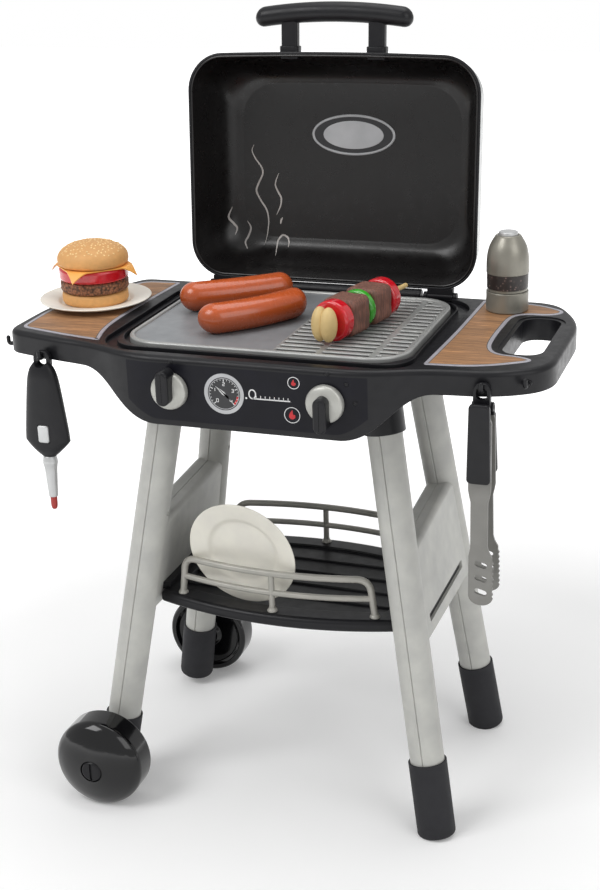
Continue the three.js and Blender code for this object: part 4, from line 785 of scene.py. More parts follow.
@dataclass
class SideFrames:
    """Two frames of two legs and a web, each split into an outer and an inner shell."""

    lean: float = 9.02
    foot: float = 167.7
    span: float = 385.3
    radius: float = 16.2
    start: float = 5.6
    end: float = 430.0
    lift: float = 11.0
    half: float = 13.5
    edge: float = 6.0
    seam: float = 0.7
    slot_middle: float = 199.3
    slot_half: float = 4.0
    slot_ends: Pair = (-62.2, 61.6)
    web_rows: tuple[tuple[str, float, float], ...] = (
        ("front", 183, 12), ("back", 180, 12), ("back", 288, 18), ("front", 277, 18),
    )
    screws: tuple[tuple[str, float], ...] = (("front", 289.0), ("back", 300.0))
    screw_radius: float = 2.4
    screw_depth: float = 1.6

    def leg_y(self, leg: str, along: float) -> float:
        """Gives a leg's Y at a length up its leaning plane."""
        foot, top = {"front": (-107.9, -62.2), "back": (101.8, 75.6)}[leg]
        return foot + (top - foot) / self.span * along

    @property
    def leaning(self) -> Matrix:
        """The move from the leaning plane into place, for the right side."""
        return shifted(self.foot, 0, 0) @ spun(-self.lean, "Y")

    def half_leg(self, leg: str, lift: float, side: int) -> Shape:
        """Gives one half of a leg's tube, flat along the seam."""
        section = []
        for k in range(17):
            angle = (k / 16 - 0.5) * math.pi
            u, v = self.radius * math.cos(angle), self.radius * math.sin(angle)
            section.append((max(u, GAP / 2), v))
        ends = [(GAP / 2, s * (self.radius - self.seam)) for s in (-1, 1)]
        section = [ends[0], *[(u + self.seam, v) for u, v in section], ends[1]]
        scale = self.radius / (self.radius + self.seam)
        rings = []
        for along in (self.start + lift, self.end):
            y = self.leg_y(leg, along)
            rings.append([Vector((side * (u * scale if u > GAP else u), y + v, along)) for u, v in section])
        return Shape().loft(rings)

    def web(self, side: int) -> Shape:
        """Gives one half of the web in the leaning plane; side is 1 for the outer half."""
        rows = [(self.leg_y(leg, along), along, reach) for leg, along, reach in self.web_rows]
        pad = Shape().pad(spaced(softened(rows, 8), 6), GAP / 2, self.half, self.edge, 0.5, 0, 6)
        return pad.moved(Matrix(((0, 0, side, 0), (1, 0, 0, 0), (0, 1, 0, 0), (0, 0, 0, 1))))

    def half_frame(self, side: int, lift: float, place: Callable[[Shape], Shape]) -> bpy.types.Mesh:
        """Gives one half of a frame: its slotted web and two half legs, the inner ones with screw hollows."""
        along = self.slot_middle / math.cos(math.radians(self.lean))
        outline = rounded(*self.slot_ends, along - self.slot_half, along + self.slot_half, 1.4, 4)
        slot = Shape().pad(outline, -40, 40)
        parts = [carved(place(self.web(side)).mesh("web"), [place(slot.moved(Axis.X.value))])]
        for leg, top in self.screws:
            y = self.leg_y(leg, top)
            ends = [(x, y, top) for x in (-self.radius - 1, self.screw_depth - self.radius)]
            hollow = rod(self.screw_radius, *ends, 20)
            tube = place(self.half_leg(leg, lift, side)).mesh("leg")
            parts.append(carved(tube, [place(hollow)]) if side < 0 else tube)
        return united("frame_half", *((part, 0) for part in parts))

    def build(self) -> None:
        """Builds all four half shells."""
        for name, mirror, lift in (("right", Matrix.Identity(4), 0.0), ("left", FLIP, self.lift)):
            for part, side in (("outer", 1), ("inner", -1)):
                half = self.half_frame(side, lift, lambda shape: shape.moved(self.leaning).moved(mirror))
                placed(
                    f"{name}_{part}_frame_half", half, "frame", [Skin.FRAME], [f"side_frame_{name}_{part}"],
                    40
                )


@dataclass
class Sleeves:
    """Four dark sleeves over the feet."""

    frames: SideFrames
    wall: float = 2.0
    floor: float = 6.0
    length: float = 74.0
    edge: float = 4.0

    def sleeve(self, leg: str, lift: float) -> Shape:
        """Gives one sleeve about its leg, for the right side."""
        outer = self.frames.radius + self.wall
        bottom = self.frames.start + lift - GAP - self.floor
        inner = self.frames.radius + GAP
        rows = soft_profile([
            (0, bottom, 0), (outer, bottom, self.edge), (outer, self.length, 0.7), (inner, self.length, 0.5),
            (inner, self.length - 6, 0), (0, self.length - 6, 0),
        ])
        foot, top = (Vector((0, self.frames.leg_y(leg, along), along)) for along in (0.0, self.frames.span))
        turn = (top - foot).to_track_quat("Z", "Y").to_matrix().to_4x4()
        shape = lathe(rows, 64).moved(Matrix.Translation(foot) @ turn).moved(self.frames.leaning)
        return shape.bowed(lambda p: Vector((p.x, p.y, max(p.z, 0.02))))

    def build(self) -> None:
        """Builds the four sleeves."""
        for name, mirror, lift in (("right", Matrix.Identity(4), 0.0), ("left", FLIP, self.frames.lift)):
            for leg in ("front", "back"):
                placed(f"{name}_{leg}_sleeve", self.sleeve(leg, lift).moved(mirror), "frame", [Skin.SLEEVE],
                       [f"foot_sleeve_{name}_{leg}"], 40)


@dataclass
class Wheels:
    """Two glossy wheels with domed faces, each on a slotted axle."""

    radius: float = 45.0
    width: float = 30.0
    dome: float = 13.0
    x: float = -160.56
    places: tuple[tuple[str, float, float], ...] = (("front", -128.0, 90.0), ("back", 124.0, -90.0))

    def wheel(self) -> Shape:
        """Gives a wheel about the Z axis with its flat side at 0."""
        r, face = self.radius, self.width + self.dome
        return lathe(soft_profile([
            (3.3, 0, 0), (12, 0, 0.6), (15.5, 3.5, 1), (35.5, 3.5, 1), (39, 0, 0.6), (r - 2, 0, 1.2),
            (r, 2, 1.2),
            (r, self.width - 4, 3), (r - 4, self.width + 1.3, 2.5), (r - 12, self.width + 6.5, 5),
            (r / 2, face - 2.6, 7), (11.2, face, 0.5), (10.8, face - 3, 0.3), (3.3, face - 3, 0), (3.3, 0, 0),
        ]), 96)

    def axle(self) -> bpy.types.Mesh:
        """Gives an axle with a slotted head, drawn like its wheel."""
        face = self.width + self.dome
        pin = lathe(soft_profile([
            (0, -30, 0), (3, -30, 0.5), (3, face - 2.7, 0.1), (10.5, face - 2.7, 0.2),
            (10.5, face - 0.8, 0.5), (8.9, face + 0.8, 0.8), (0, face + 0.8, 0),
        ]), 48)
        return carved(pin.mesh("axle"), [block(-1.2, 1.2, -8.9, 8.9, face - 0.8, face + 4, 0.2)])

    def build(self) -> None:
        """Builds both wheels on their axles."""
        for name, y, turn in self.places:
            place = shifted(self.x, y, self.radius) @ spun(turn, "X")
            placed(
                f"{name}_wheel", self.wheel().moved(place), f"wheel_{name}", [Skin.GLOSS], [f"wheel_{name}"],
                40
            )
            axle = self.axle()
            still = Matrix.Translation(STAND * MM)
            turned = Matrix.Translation(place.translation * MM) @ place.to_3x3().to_4x4()
            axle.transform(still @ turned @ still.inverted())
            placed(f"{name}_axle", axle, "frame", [Skin.BLACK], [f"wheel_axle_{name}"], 40)


# ---------------------------------------------------------------- table

TABLE_ROWS = (
    (-110, -131, 24), (110, -131, 24), (160, -110.5, 30), (216, -107, 28), (259.5, -79, 26), (259.5, 62, 34),
    (229, 120.5, 24), (-205, 120.5, 12), (-243, 44, 40), (-255, -6, 30), (-255, -86, 16), (-201, -101, 30),
    (-158, -109, 26),
)
LEFT_ROWS = (
    (-245, -76, 9), (-196, -90, 30), (-153, -98, 4), (-164, -60, 24), (-166, -10, 30), (-160.5, 109.5, 5),
    (-199, 105.5, 10), (-235, 40, 30), (-247, -16, 22),
)
RIGHT_ROWS = (
    (152, -97.5, 4), (199, -94, 30), (243, -66, 14), (228, -56, 10), (206, -54, 12), (196, -36, 20),
    (194, 0, 20),
    (195, 60, 16), (204, 73, 14), (232, 74, 12), (242, 90, 12), (214, 108, 14), (157, 112, 5), (156, 0, 30),
)


@dataclass(frozen=True)
class Rect:
    """A rounded rectangle in the table's top."""

    left: float
    right: float
    front: float
    back: float
    corner: float
    steps: int = 10

    def grown(self, grow: float, steps: int = 0) -> Loop:
        """Gives the outline, grown by a distance on all sides."""
        return rounded(self.left - grow, self.right + grow, self.front - grow, self.back + grow,
                       self.corner + grow, steps or self.steps)


PLATE = Rect(-134, 134, -99, 102.6, 35)
GROOVE = Rect(-151, 151, -117.7, 111.4, 38.4)
GRIP = Rect(207, 243, -47, 66, 15, 8)

# The lid's hinge and the places of the knobs.
HINGE_Y, HINGE_Z = 116.2, 460.2
KNOB_LEFT, KNOB_RIGHT, KNOB_HEIGHT = -69.0, 75.5, 430.0


def crossing(outline: Loop, x: float, side: int = -1) -> float:
    """Gives the Y where an outline crosses an X, at the front with side -1."""
    hits = []
    for i, (x0, y0) in enumerate(outline):
        x1, y1 = outline[(i + 1) % len(outline)]
        if (x0 - x) * (x1 - x) <= 0 and abs(x1 - x0) > 1e-9:
            hits.append(y0 + (y1 - y0) * (x - x0) / (x1 - x0))
    return side * max(side * y for y in hits)


@dataclass
class Table:
    """The black table: deck, skirts, belly, leg sockets, well and carrying grip."""

    frames: SideFrames
    top: float = 460.0
    deck_thick: float = 3.0
    wall: float = 3.0
    edge: float = 5.0
    skirt: float = 438.0
    belly: float = 396.0
    belly_outer: float = 165.0
    belly_inner: float = 85.0
    pocket: float = 0.8
    lip: float = 4.0
    lip_depth: float = 1.2
    groove_depth: float = 4.0
    groove_width: float = 10.6
    trough_wall: float = 2.0
    trough_floor: float = 453.5
    step: float = 5.0
    seat: float = 451.7
    ledge: float = 7.0
    basin: float = 443.5
    pan_wall: float = 2.8
    pan_floor: float = 440.5
    socket_low: float = 382.0
    socket_high: float = 442.0
    socket_bore: float = 16.5
    socket_roof: float = 14.0
    ear: tuple[float, ...] = (111.9, 120.5, 451.4, 464.5, 4.25)
    ear_ends: tuple[Pair, ...] = ((96.3, 99.7), (126.3, 129.7))
    ridge_radius: float = 6.2
    ridge_half: float = 94.0
    notch_middle: float = 113.0
    notch_half: float = 13.3
    mark_reach: float = 26.0

    def __post_init__(self) -> None:
        """Softens the outline's corners."""
        self.outline = spaced(softened(TABLE_ROWS, 10), 3.5)

    def hem(self, x: float) -> float:
        """Gives the height of the skirt's lower edge at a distance along the table."""
        reach = abs(x)
        outer, inner = self.belly_outer, self.belly_inner
        if reach >= outer:
            return self.skirt
        if reach <= inner:
            return self.belly
        low, high = 0.0, 1.0
        for _ in range(30):
            t = (low + high) / 2
            pulled = 3 * (outer - 32) * t * (1 - t) ** 2 + 3 * (inner + 38) * t**2 * (1 - t)
            at = outer * (1 - t) ** 3 + pulled + inner * t**3
            low, high = (t, high) if at > reach else (low, t)
        t = low
        return self.skirt * (1 - t) ** 2 * (1 + 2 * t) + self.belly * t**2 * (3 - 2 * t)

    def skirts(self) -> Shape:
        """Gives the skirt with its rounded deck edge and foot, inside and out."""
        def at(depth: float, height: Callable[[float], float]) -> Ring:
            """Gives the outline's ring at a depth."""
            return [Vector((x, y, height(x))) for x, y in inset(self.outline, depth)]

        rings = [
            at(self.wall, lambda x: self.top - self.deck_thick), at(self.wall, lambda x: self.hem(x) + 1.2)
        ]
        rings += [at(self.wall - 0.5, lambda x: self.hem(x) + 0.3), at(self.wall / 2, self.hem),
                  at(0.5, lambda x: self.hem(x) + 0.3), at(0, lambda x: self.hem(x) + 1.2)]
        for k in range(7):
            angle = k / 6 * math.pi / 2
            lift = self.top - self.edge * (1 - math.sin(angle))
            rings.append(at(self.edge * (1 - math.cos(angle)), lambda x, lift=lift: lift))
        return Shape().loft(rings, 0, False, False)

    def rim(self, outline: Loop, high: float, low: float, chamfer: float = 0.5) -> tuple[Ring, Shape]:
        """Gives the edge loop of a hollow in a face, and its wall down to a height."""
        wide = ring(inset(outline, -chamfer), high)
        middle = ring(inset(outline, -chamfer * 0.3), high - chamfer * 0.35)
        walls = [wide, middle, ring(outline, high - chamfer), ring(outline, low)]
        return wide, Shape().loft(walls, 0, False, False)

    def deck(self) -> Shape:
        """Gives the deck with its pockets, the lid's groove and the plate's well."""
        body = Shape()
        pockets = []
        for rows in (LEFT_ROWS, RIGHT_ROWS):
            outline = inset(softened(rows, 8), -GAP)
            loop, wall = self.rim(outline, self.top, self.top - self.pocket, 0.25)
            pockets.append(loop)
            body.join(wall).flat(ring(outline, self.top - self.pocket))
        lip_floor, under = self.top - self.lip_depth, self.top - self.deck_thick
        floor = self.top - self.groove_depth
        groove, groove_wall = self.rim(GROOVE.grown(0), self.top, floor, 0.8)
        lip, lip_wall = self.rim(GRIP.grown(self.lip), self.top, lip_floor, 0.5)
        inner, inner_wall = self.rim(GRIP.grown(0), lip_floor, self.skirt, 0.5)
        body.join(groove_wall, lip_wall, inner_wall)
        body.flat(ring(GRIP.grown(self.lip), lip_floor), [inner])
        grip = GRIP.grown(self.wall)
        body.loft(
            [ring(GRIP.grown(0), self.skirt), ring(grip, self.skirt), ring(grip, under)], 0, False, False
        )
        body.flat(ring(inset(self.outline, self.edge), self.top), [*pockets, groove, lip])
        well, ledge = PLATE.grown(GAP), PLATE.grown(-self.ledge)
        body.flat(ring(GROOVE.grown(0), floor), [ring(well, floor)])
        body.loft([ring(well, floor), ring(well, self.seat)], 0, False, False)
        body.flat(ring(well, self.seat), [ring(ledge, self.seat)])
        body.loft([ring(ledge, self.seat), ring(ledge, self.basin)], 0, False, True)
        trough, pan = GROOVE.grown(self.trough_wall), PLATE.grown(self.pan_wall)
        body.flat(ring(inset(self.outline, self.wall), under), [ring(grip, under), ring(trough, under)])
        body.loft([ring(trough, under), ring(trough, self.trough_floor)], 0, False, False)
        body.flat(ring(trough, self.trough_floor), [ring(pan, self.trough_floor)])
        foot = ring(PLATE.grown(self.pan_wall - 1), self.pan_floor)
        return body.loft([ring(pan, self.trough_floor), ring(pan, self.pan_floor + 1), foot], 0, False, True)

    def ridge(self) -> Shape:
        """Gives the low wall between the lid's groove and the plate, open at the back."""
        outer, inner = GROOVE.grown(-self.groove_width, 16), PLATE.grown(self.step, 16)

        def reach(outline: Loop, angle: float) -> float:
            """Gives how far an outline lies from the middle in one direction."""
            ray = Vector((math.cos(angle), math.sin(angle)))
            best = 0.0
            for i, point in enumerate(outline):
                a, b = Vector(point), Vector(outline[(i + 1) % len(outline)])
                side = b - a
                cross = ray.x * side.y - ray.y * side.x
                if abs(cross) < 1e-9:
                    continue
                t = (a.x * side.y - a.y * side.x) / cross
                s = (a.x * ray.y - a.y * ray.x) / cross
                if -1e-6 <= s <= 1 + 1e-6 and t > best:
                    best = t
            return best

        rings: list[Ring] = []
        base, top = self.top - self.groove_depth, self.top
        count = 360
        first = math.radians(125)
        for k in range(count + 1):
            angle = first + math.radians(290) * k / count
            far, near = reach(outer, angle), reach(inner, angle)
            if far - near < 0.25:
                continue
            ray = Vector((math.cos(angle), math.sin(angle), 0))
            thick = far - near
            soft = min(0.6, thick * 0.45)
            rings.append([
                ray * far + Vector((0, 0, base)), ray * far + Vector((0, 0, top - soft)),
                ray * (far - soft) + Vector((0, 0, top)), ray * (near + soft) + Vector((0, 0, top)),
                ray * near + Vector((0, 0, top - soft)), ray * near + Vector((0, 0, base)),
            ])
        return Shape().loft(rings)

    def sockets(self) -> Shape:
        """Gives the four tubes that hold the legs."""
        body = Shape()
        for mirror in (Matrix.Identity(4), FLIP):
            for leg in ("front", "back"):
                cosine = math.cos(math.radians(self.frames.lean))
                ends = [Vector((0, self.frames.leg_y(leg, h / cosine), h / cosine)) for h in (
                    self.socket_low, self.socket_high
                )]
                turn = (ends[1] - ends[0]).to_track_quat("Z", "Y").to_matrix().to_4x4()
                length = (ends[1] - ends[0]).length
                bore, roof = self.socket_bore, length - self.socket_roof
                outside = bore + self.wall
                rows = soft_profile([
                    (bore, roof, 0), (bore, 0, 0.5), (outside, 0, 1.0), (outside, length, 0.5),
                    (0, length, 0),
                ], 3)
                tube = lathe([*rows, (0, roof), (bore, roof)], 48)
                tube.moved(Matrix.Translation(ends[0]) @ turn).moved(self.frames.leaning).moved(mirror)
                body.join(tube)
        return body

    def hinge_ears(self) -> Shape:
        """Gives the four ears that hold the lid's pins, and the round ridge between them."""
        body = Shape()
        for x0, x1 in self.ear_ends:
            body.join(Shape().pad(rounded(*self.ear, 8), x0, x1, 0.4, 0.4).moved(Axis.X.value))
        other = Shape().join(body).moved(FLIP)
        ends = [(x, HINGE_Y, HINGE_Z) for x in (-self.ridge_half, self.ridge_half)]
        ridge = rod(self.ridge_radius, *ends, 40, 1.0)
        return body.join(other, ridge)

    def marks(self) -> Shape:
        """Gives the low round bumps beside the knobs."""
        body = Shape()
        for knob, degrees in ((KNOB_LEFT, 86), (KNOB_RIGHT, 4), (KNOB_RIGHT, 44), (KNOB_RIGHT, 86)):
            angle = math.radians(degrees)
            x, z = knob + self.mark_reach * math.cos(angle), KNOB_HEIGHT + self.mark_reach * math.sin(angle)
            front = crossing(self.outline, x)
            body.join(lathe([(2.0, -1), (2.0, 0.2), (1.7, 0.8), (1.1, 1.15), (0, 1.2)], 24).moved(
                shifted(x, front, z) @ spun(90, "X")))
        return body

    def build(self) -> None:
        """Builds the table as one dressed piece."""
        body = self.skirts().join(self.deck())
        mesh = body.mesh("table_shell")
        notches = [plank(rounded(x - self.notch_half, x + self.notch_half, 455.9, 464.5, 0.6, 4), 106.8, 130)
                   for x in (-self.notch_middle, self.notch_middle)]
        placed("table_shell", carved(mesh, notches), "frame", [Skin.BLACK], ["table_top"], 38)
        rest = self.sockets().join(self.hinge_ears(), self.marks())
        placed("table_sockets", rest, "frame", [Skin.BLACK], (), 38)
        placed("lid_groove_ridge", self.ridge(), "frame", [Skin.BLACK], (), 50)


@dataclass
class Inlays:
    """Two printed wood sheets with a silver border and a fine line inside it."""

    low: float = 459.35
    high: float = 460.35

    def sheet(self, rows: Sequence[tuple[float, float, float]]) -> Shape:
        """Gives one sheet: wood is finish 0, the border 1 and its dark inner line 2."""
        edge = spaced(softened(rows, 10), 5)
        loops = [ring(inset(edge, d), self.high) for d in (0.25, 3.4, 4.1)]
        body = Shape().loft([ring(edge, self.low), ring(edge, self.high - 0.25), loops[0]], 1, True, False)
        for a, b, slot in ((0, 1, 1), (1, 2, 2)):
            body.loft([loops[a], loops[b]], slot, False, False)
        return body.flat(loops[2], (), 0)

    def build(self) -> None:
        """Builds both sheets."""
        for side, rows in (("left", LEFT_ROWS), ("right", RIGHT_ROWS)):
            placed(f"{side}_wood_sheet", self.sheet(rows), "frame", [Skin.WOOD, Skin.BORDER, Skin.SEAM_AND_SLOT_SHADE],
                   [f"wood_inlay_{side}"], 60)


# ---------------------------------------------------------------- lid

LID_SHARES = (
    (0, 0), (0.035, 0.25), (0.07, 0.5), (0.125, 0.68), (0.22, 0.84), (0.34, 0.95), (0.48, 1), (0.95, 1)
)


STEAM_LINES = (
    ((-104.2, -19.0), (-106.5, -12.5), (-102.9, -4.5), (-96.4, 4.5), (-95.4, 11.5), (-99.9, 21.0),
     (-102.3, 29.0), (-98.0, 38.0), (-91.4, 48.0), (-89.1, 58.5), (-90.0, 71.0), (-92.2, 84.0)),
    ((-77.9, 10.0), (-81.7, 21.0), (-79.1, 28.5), (-75.3, 35.5), (-76.0, 43.5), (-80.3, 53.0)),
    ((-127.0, 45.5), (-130.1, 56.0), (-125.8, 63.0), (-122.4, 68.0), (-123.5, 74.5)),
    ((-112.4, 60.5), (-108.5, 67.5), (-110.6, 76.0), (-112.8, 82.0), (-109.4, 88.5)),
    ((-73.7, 55.5), (-75.4, 59.0), (-75.8, 62.5)),
    ((-76.7, 93.5), (-78.2, 86.0), (-78.0, 79.5), (-73.4, 74.0), (-67.8, 76.0), (-65.8, 80.5), (-65.6, 85.5)),
)


def spread_rows(rows: Sequence[Pair], step: float = 4.0) -> list[Pair]:
    """Adds rows along a turned profile, so that it can be bent."""
    out = [rows[0]]
    for (r0, h0), (r1, h1) in zip(rows, rows[1:]):
        count = max(1, round(abs(h1 - h0) / step))
        out += [(r0 + (r1 - r0) * k / count, h0 + (h1 - h0) * k / count) for k in range(1, count + 1)]
    return out


@dataclass
class Lid:
    """The opened lid: silver shell, black liner, handle, lugs and the blank badge."""

    half: float = 148.6
    front: float = -112.3
    back: float = 109.0
    rim: float = 457.0
    bow: float = 3.0
    corner: float = 36.0
    depth: float = 69.0
    crown: float = 2.0
    thick: float = 2.2
    liner_start: float = 2.7
    liner_end: float = 4.3
    open: float = 94.2

    def __post_init__(self) -> None:
        """Draws the wall's profile from its shares of the depth."""
        rows = [(a * self.depth, b * self.depth) for a, b in LID_SHARES]
        rows[-1] = (rows[-1][0], rows[-1][1] + self.crown)
        self.wall = [tuple(p) for p in curve(rows[:-1], 5)] + [rows[-1]]
        fine = []
        for depth_in, height in self.wall:
            fine.append((depth_in, min(height, self.depth) if (depth_in, height) != rows[-1] else height))
        self.wall = fine

    @property
    def place(self) -> Matrix:
        """The turn about the hinge, from closed to open."""
        return (shifted(0, HINGE_Y, HINGE_Z) @ spun(-self.open, "X")
                @ shifted(0, -HINGE_Y, -HINGE_Z))

    def level(self, depth_in: float, height: float, corner: float) -> Ring:
        """Gives one ring of the lid at an inset from its rim, bowed at the front."""
        x0, x1 = -self.half + depth_in, self.half - depth_in
        rows = fine_rect(x0, x1, self.front + depth_in, self.back - depth_in, corner, 14, 14)
        out = []
        for x, y in rows:
            forward = min(max((self.back - y) / (self.back - self.front), 0), 1)
            out.append(Vector((x, y - self.bow * forward * (1 - (x / self.half) ** 2), height)))
        return out

    def skin(self, depth: float, dip: float = 0.0) -> list[Ring]:
        """Gives the rings of the lid's form, set in from its outside, rim first."""
        rings = []
        last = len(self.wall) - 1
        for i, (depth_in, height) in enumerate(self.wall):
            before, after = self.wall[max(i - 1, 0)], self.wall[min(i + 1, last)]
            rise = (Vector(after) - Vector(before)).normalized()
            drop = dip if i == 0 else depth * rise.x
            rings.append(self.level(
                depth_in + depth * rise.y, self.rim + height - drop, self.corner - depth * rise.y
            ))
        return rings

    def shell(self, outer: float, inner: float, slot: int = 0) -> Shape:
        """Gives a closed shell between two depths, with a rounded rim."""
        outside, inside = self.skin(outer), self.skin(inner)
        dark = slot + 1 if outer == 0 else slot
        lip = self.level((outer + inner) / 2, self.rim - 0.35, self.corner - (outer + inner) / 2)
        body = Shape().loft([*inside[::-1], lip, *outside[:2]], dark, True, False)
        return body.loft(outside[1:], slot, False, True)

    def lugs(self) -> Shape:
        """Gives the two hinge barrels with the blocks that carry them."""
        body = Shape()
        for s in (-1, 1):
            body.join(rod(4.0, (s * 100, HINGE_Y, HINGE_Z), (s * 126, HINGE_Y, HINGE_Z), 40, 0.4, 1))
            x0, x1 = sorted((s * 100.0, s * 126.0))
            body.join(block(x0, x1, 107.4, 116.2, 456.8, 464.0, 0.5, 1))
        return body

    def handle(self) -> Shape:
        """Gives the round bar on its two posts."""
        y, z = self.front - self.bow - 37, self.rim + 11
        radius, half = 9.5, 79.0
        rows = [(
            radius * math.sin(a), -half + radius * (1 - math.cos(a))
        ) for a in (k * math.pi / 20 for k in range(11))]
        rows = [(0.0, -half), *rows[1:]]
        rows += [(r, -h) for r, h in rows[::-1]]
        bar = Shape().turn(spread_rows(rows), 48).moved(shifted(0, y, z) @ spun(90, "Y"))
        body = bar.bowed(lambda p: Vector((p.x, p.y + 6 * (p.x / half) ** 2, p.z)))
        for x in (-44, 44):
            for grow, near, far, edge in (
                (0.0, y, self.front + 4, 1.5), (1.6, self.front - self.bow - 5, self.front + 4, 1.0)
            ):
                outline = rounded(-8.2 - grow, 8.2 + grow, -5.5 - grow, 5.5 + grow, 3 + grow, 6)
                post = Shape().pad(
                    outline, -far, -near, edge, 0.2
                ).moved(Axis.Y.value).moved(shifted(x, 0, z))
                body.join(post)
        return body

    def steam(self) -> Shape:
        """Gives the wisps printed inside the lid: ribbons that thin out at both ends."""
        lining = self.shell(2.1, self.liner_end)
        inside = BVHTree.FromPolygons(lining.points, lining.faces)
        body = Shape()
        for line in STEAM_LINES:
            path = curve([(x, y, 0) for x, y in line], 6)
            rows = []
            for i, point in enumerate(path):
                ahead = (path[min(i + 1, len(path) - 1)] - path[max(i - 1, 0)]).normalized()
                share = math.sin(math.pi * (i + 0.5) / len(path)) ** 0.6
                across = 0.95 * share * Vector((-ahead.y, ahead.x, 0))
                feet = [Vector((p.x, p.y, self.rim)) for p in (point + across, point - across)]
                hits = [inside.ray_cast(foot, Vector((0, 0, 1)))[0] for foot in feet]
                rows.append([hit - Vector((0, 0, 0.3)) for hit in hits])
            for a, b in zip(rows, rows[1:]):
                body.add([a[0], a[1], b[1], b[0]], [(0, 1, 2, 3)])
        return body

    def badge(self) -> tuple[Shape, Shape]:
        """Gives the blank oval badge inside the lid: its silver ring and plate, and its dark band."""
        def ovals(*rows: tuple[float, float, float]) -> list[Ring]:
            """Gives an oval ring for each half length, half width and height."""
            turns = [2 * math.pi * k / 96 for k in range(96)]
            return [
                ring([(a * math.cos(t), b * math.sin(t)) for t in turns], height) for a, b, height in rows
            ]

        bright = Shape().loft(ovals(
            (44, 20.5, 0), (44, 20.5, 0.5), (43.2, 19.7, 1.0), (42.0, 18.5, 1.0), (41.4, 17.9, 0.4),
            (41.4, 17.9, 0),
        ), 0, False, False)
        dark = Shape().loft(ovals((41.6, 18.1, 0), (41.6, 18.1, 0.45)), 0, False, True)
        bright.loft(ovals((31.8, 14.0, 0.4), (31.8, 14.0, 0.75), (31.2, 13.4, 1.05)), 0, False, True)
        return bright, dark

    def build(self) -> None:
        """Builds the lid's pieces on its own body."""
        outer = self.shell(0, self.thick).join(self.lugs())
        placed(
            "lid_shell", outer.moved(self.place), "lid", [Skin.LID, Skin.BLACK], ["lid_outer_shell"],
            35
        )
        liner = self.shell(self.liner_start, self.liner_end)
        placed("lid_lining", liner.moved(self.place), "lid", [Skin.LINER], ["lid_inner_liner"], 35)
        placed("lid_bar", self.handle().moved(self.place), "lid", [Skin.BLACK], ["lid_handle"], 40)
        back = self.rim + self.depth + self.crown - self.liner_end
        for name, part, finish in zip(("badge_plate", "badge_band"), self.badge(), (Skin.SILVER, Skin.DARK)):
            face = shifted(3.2, -31.0, back - 0.1) @ spun(180, "X")
            placed(name, part.moved(face).moved(self.place), "lid", [finish], (), 30)
        placed("steam_print", self.steam().moved(self.place), "lid", [Skin.STEAM], (), 30)
        for s, side in ((1, "right"), (-1, "left")):
            pin = rod(2, (s * 96, HINGE_Y, HINGE_Z), (s * 130, HINGE_Y, HINGE_Z), 24, 0.3)
            placed(f"{side}_hinge_pin", pin, "frame", [Skin.BLACK], [f"lid_hinge_pin_{side}"], 40)


# ---------------------------------------------------------------- cooking plate

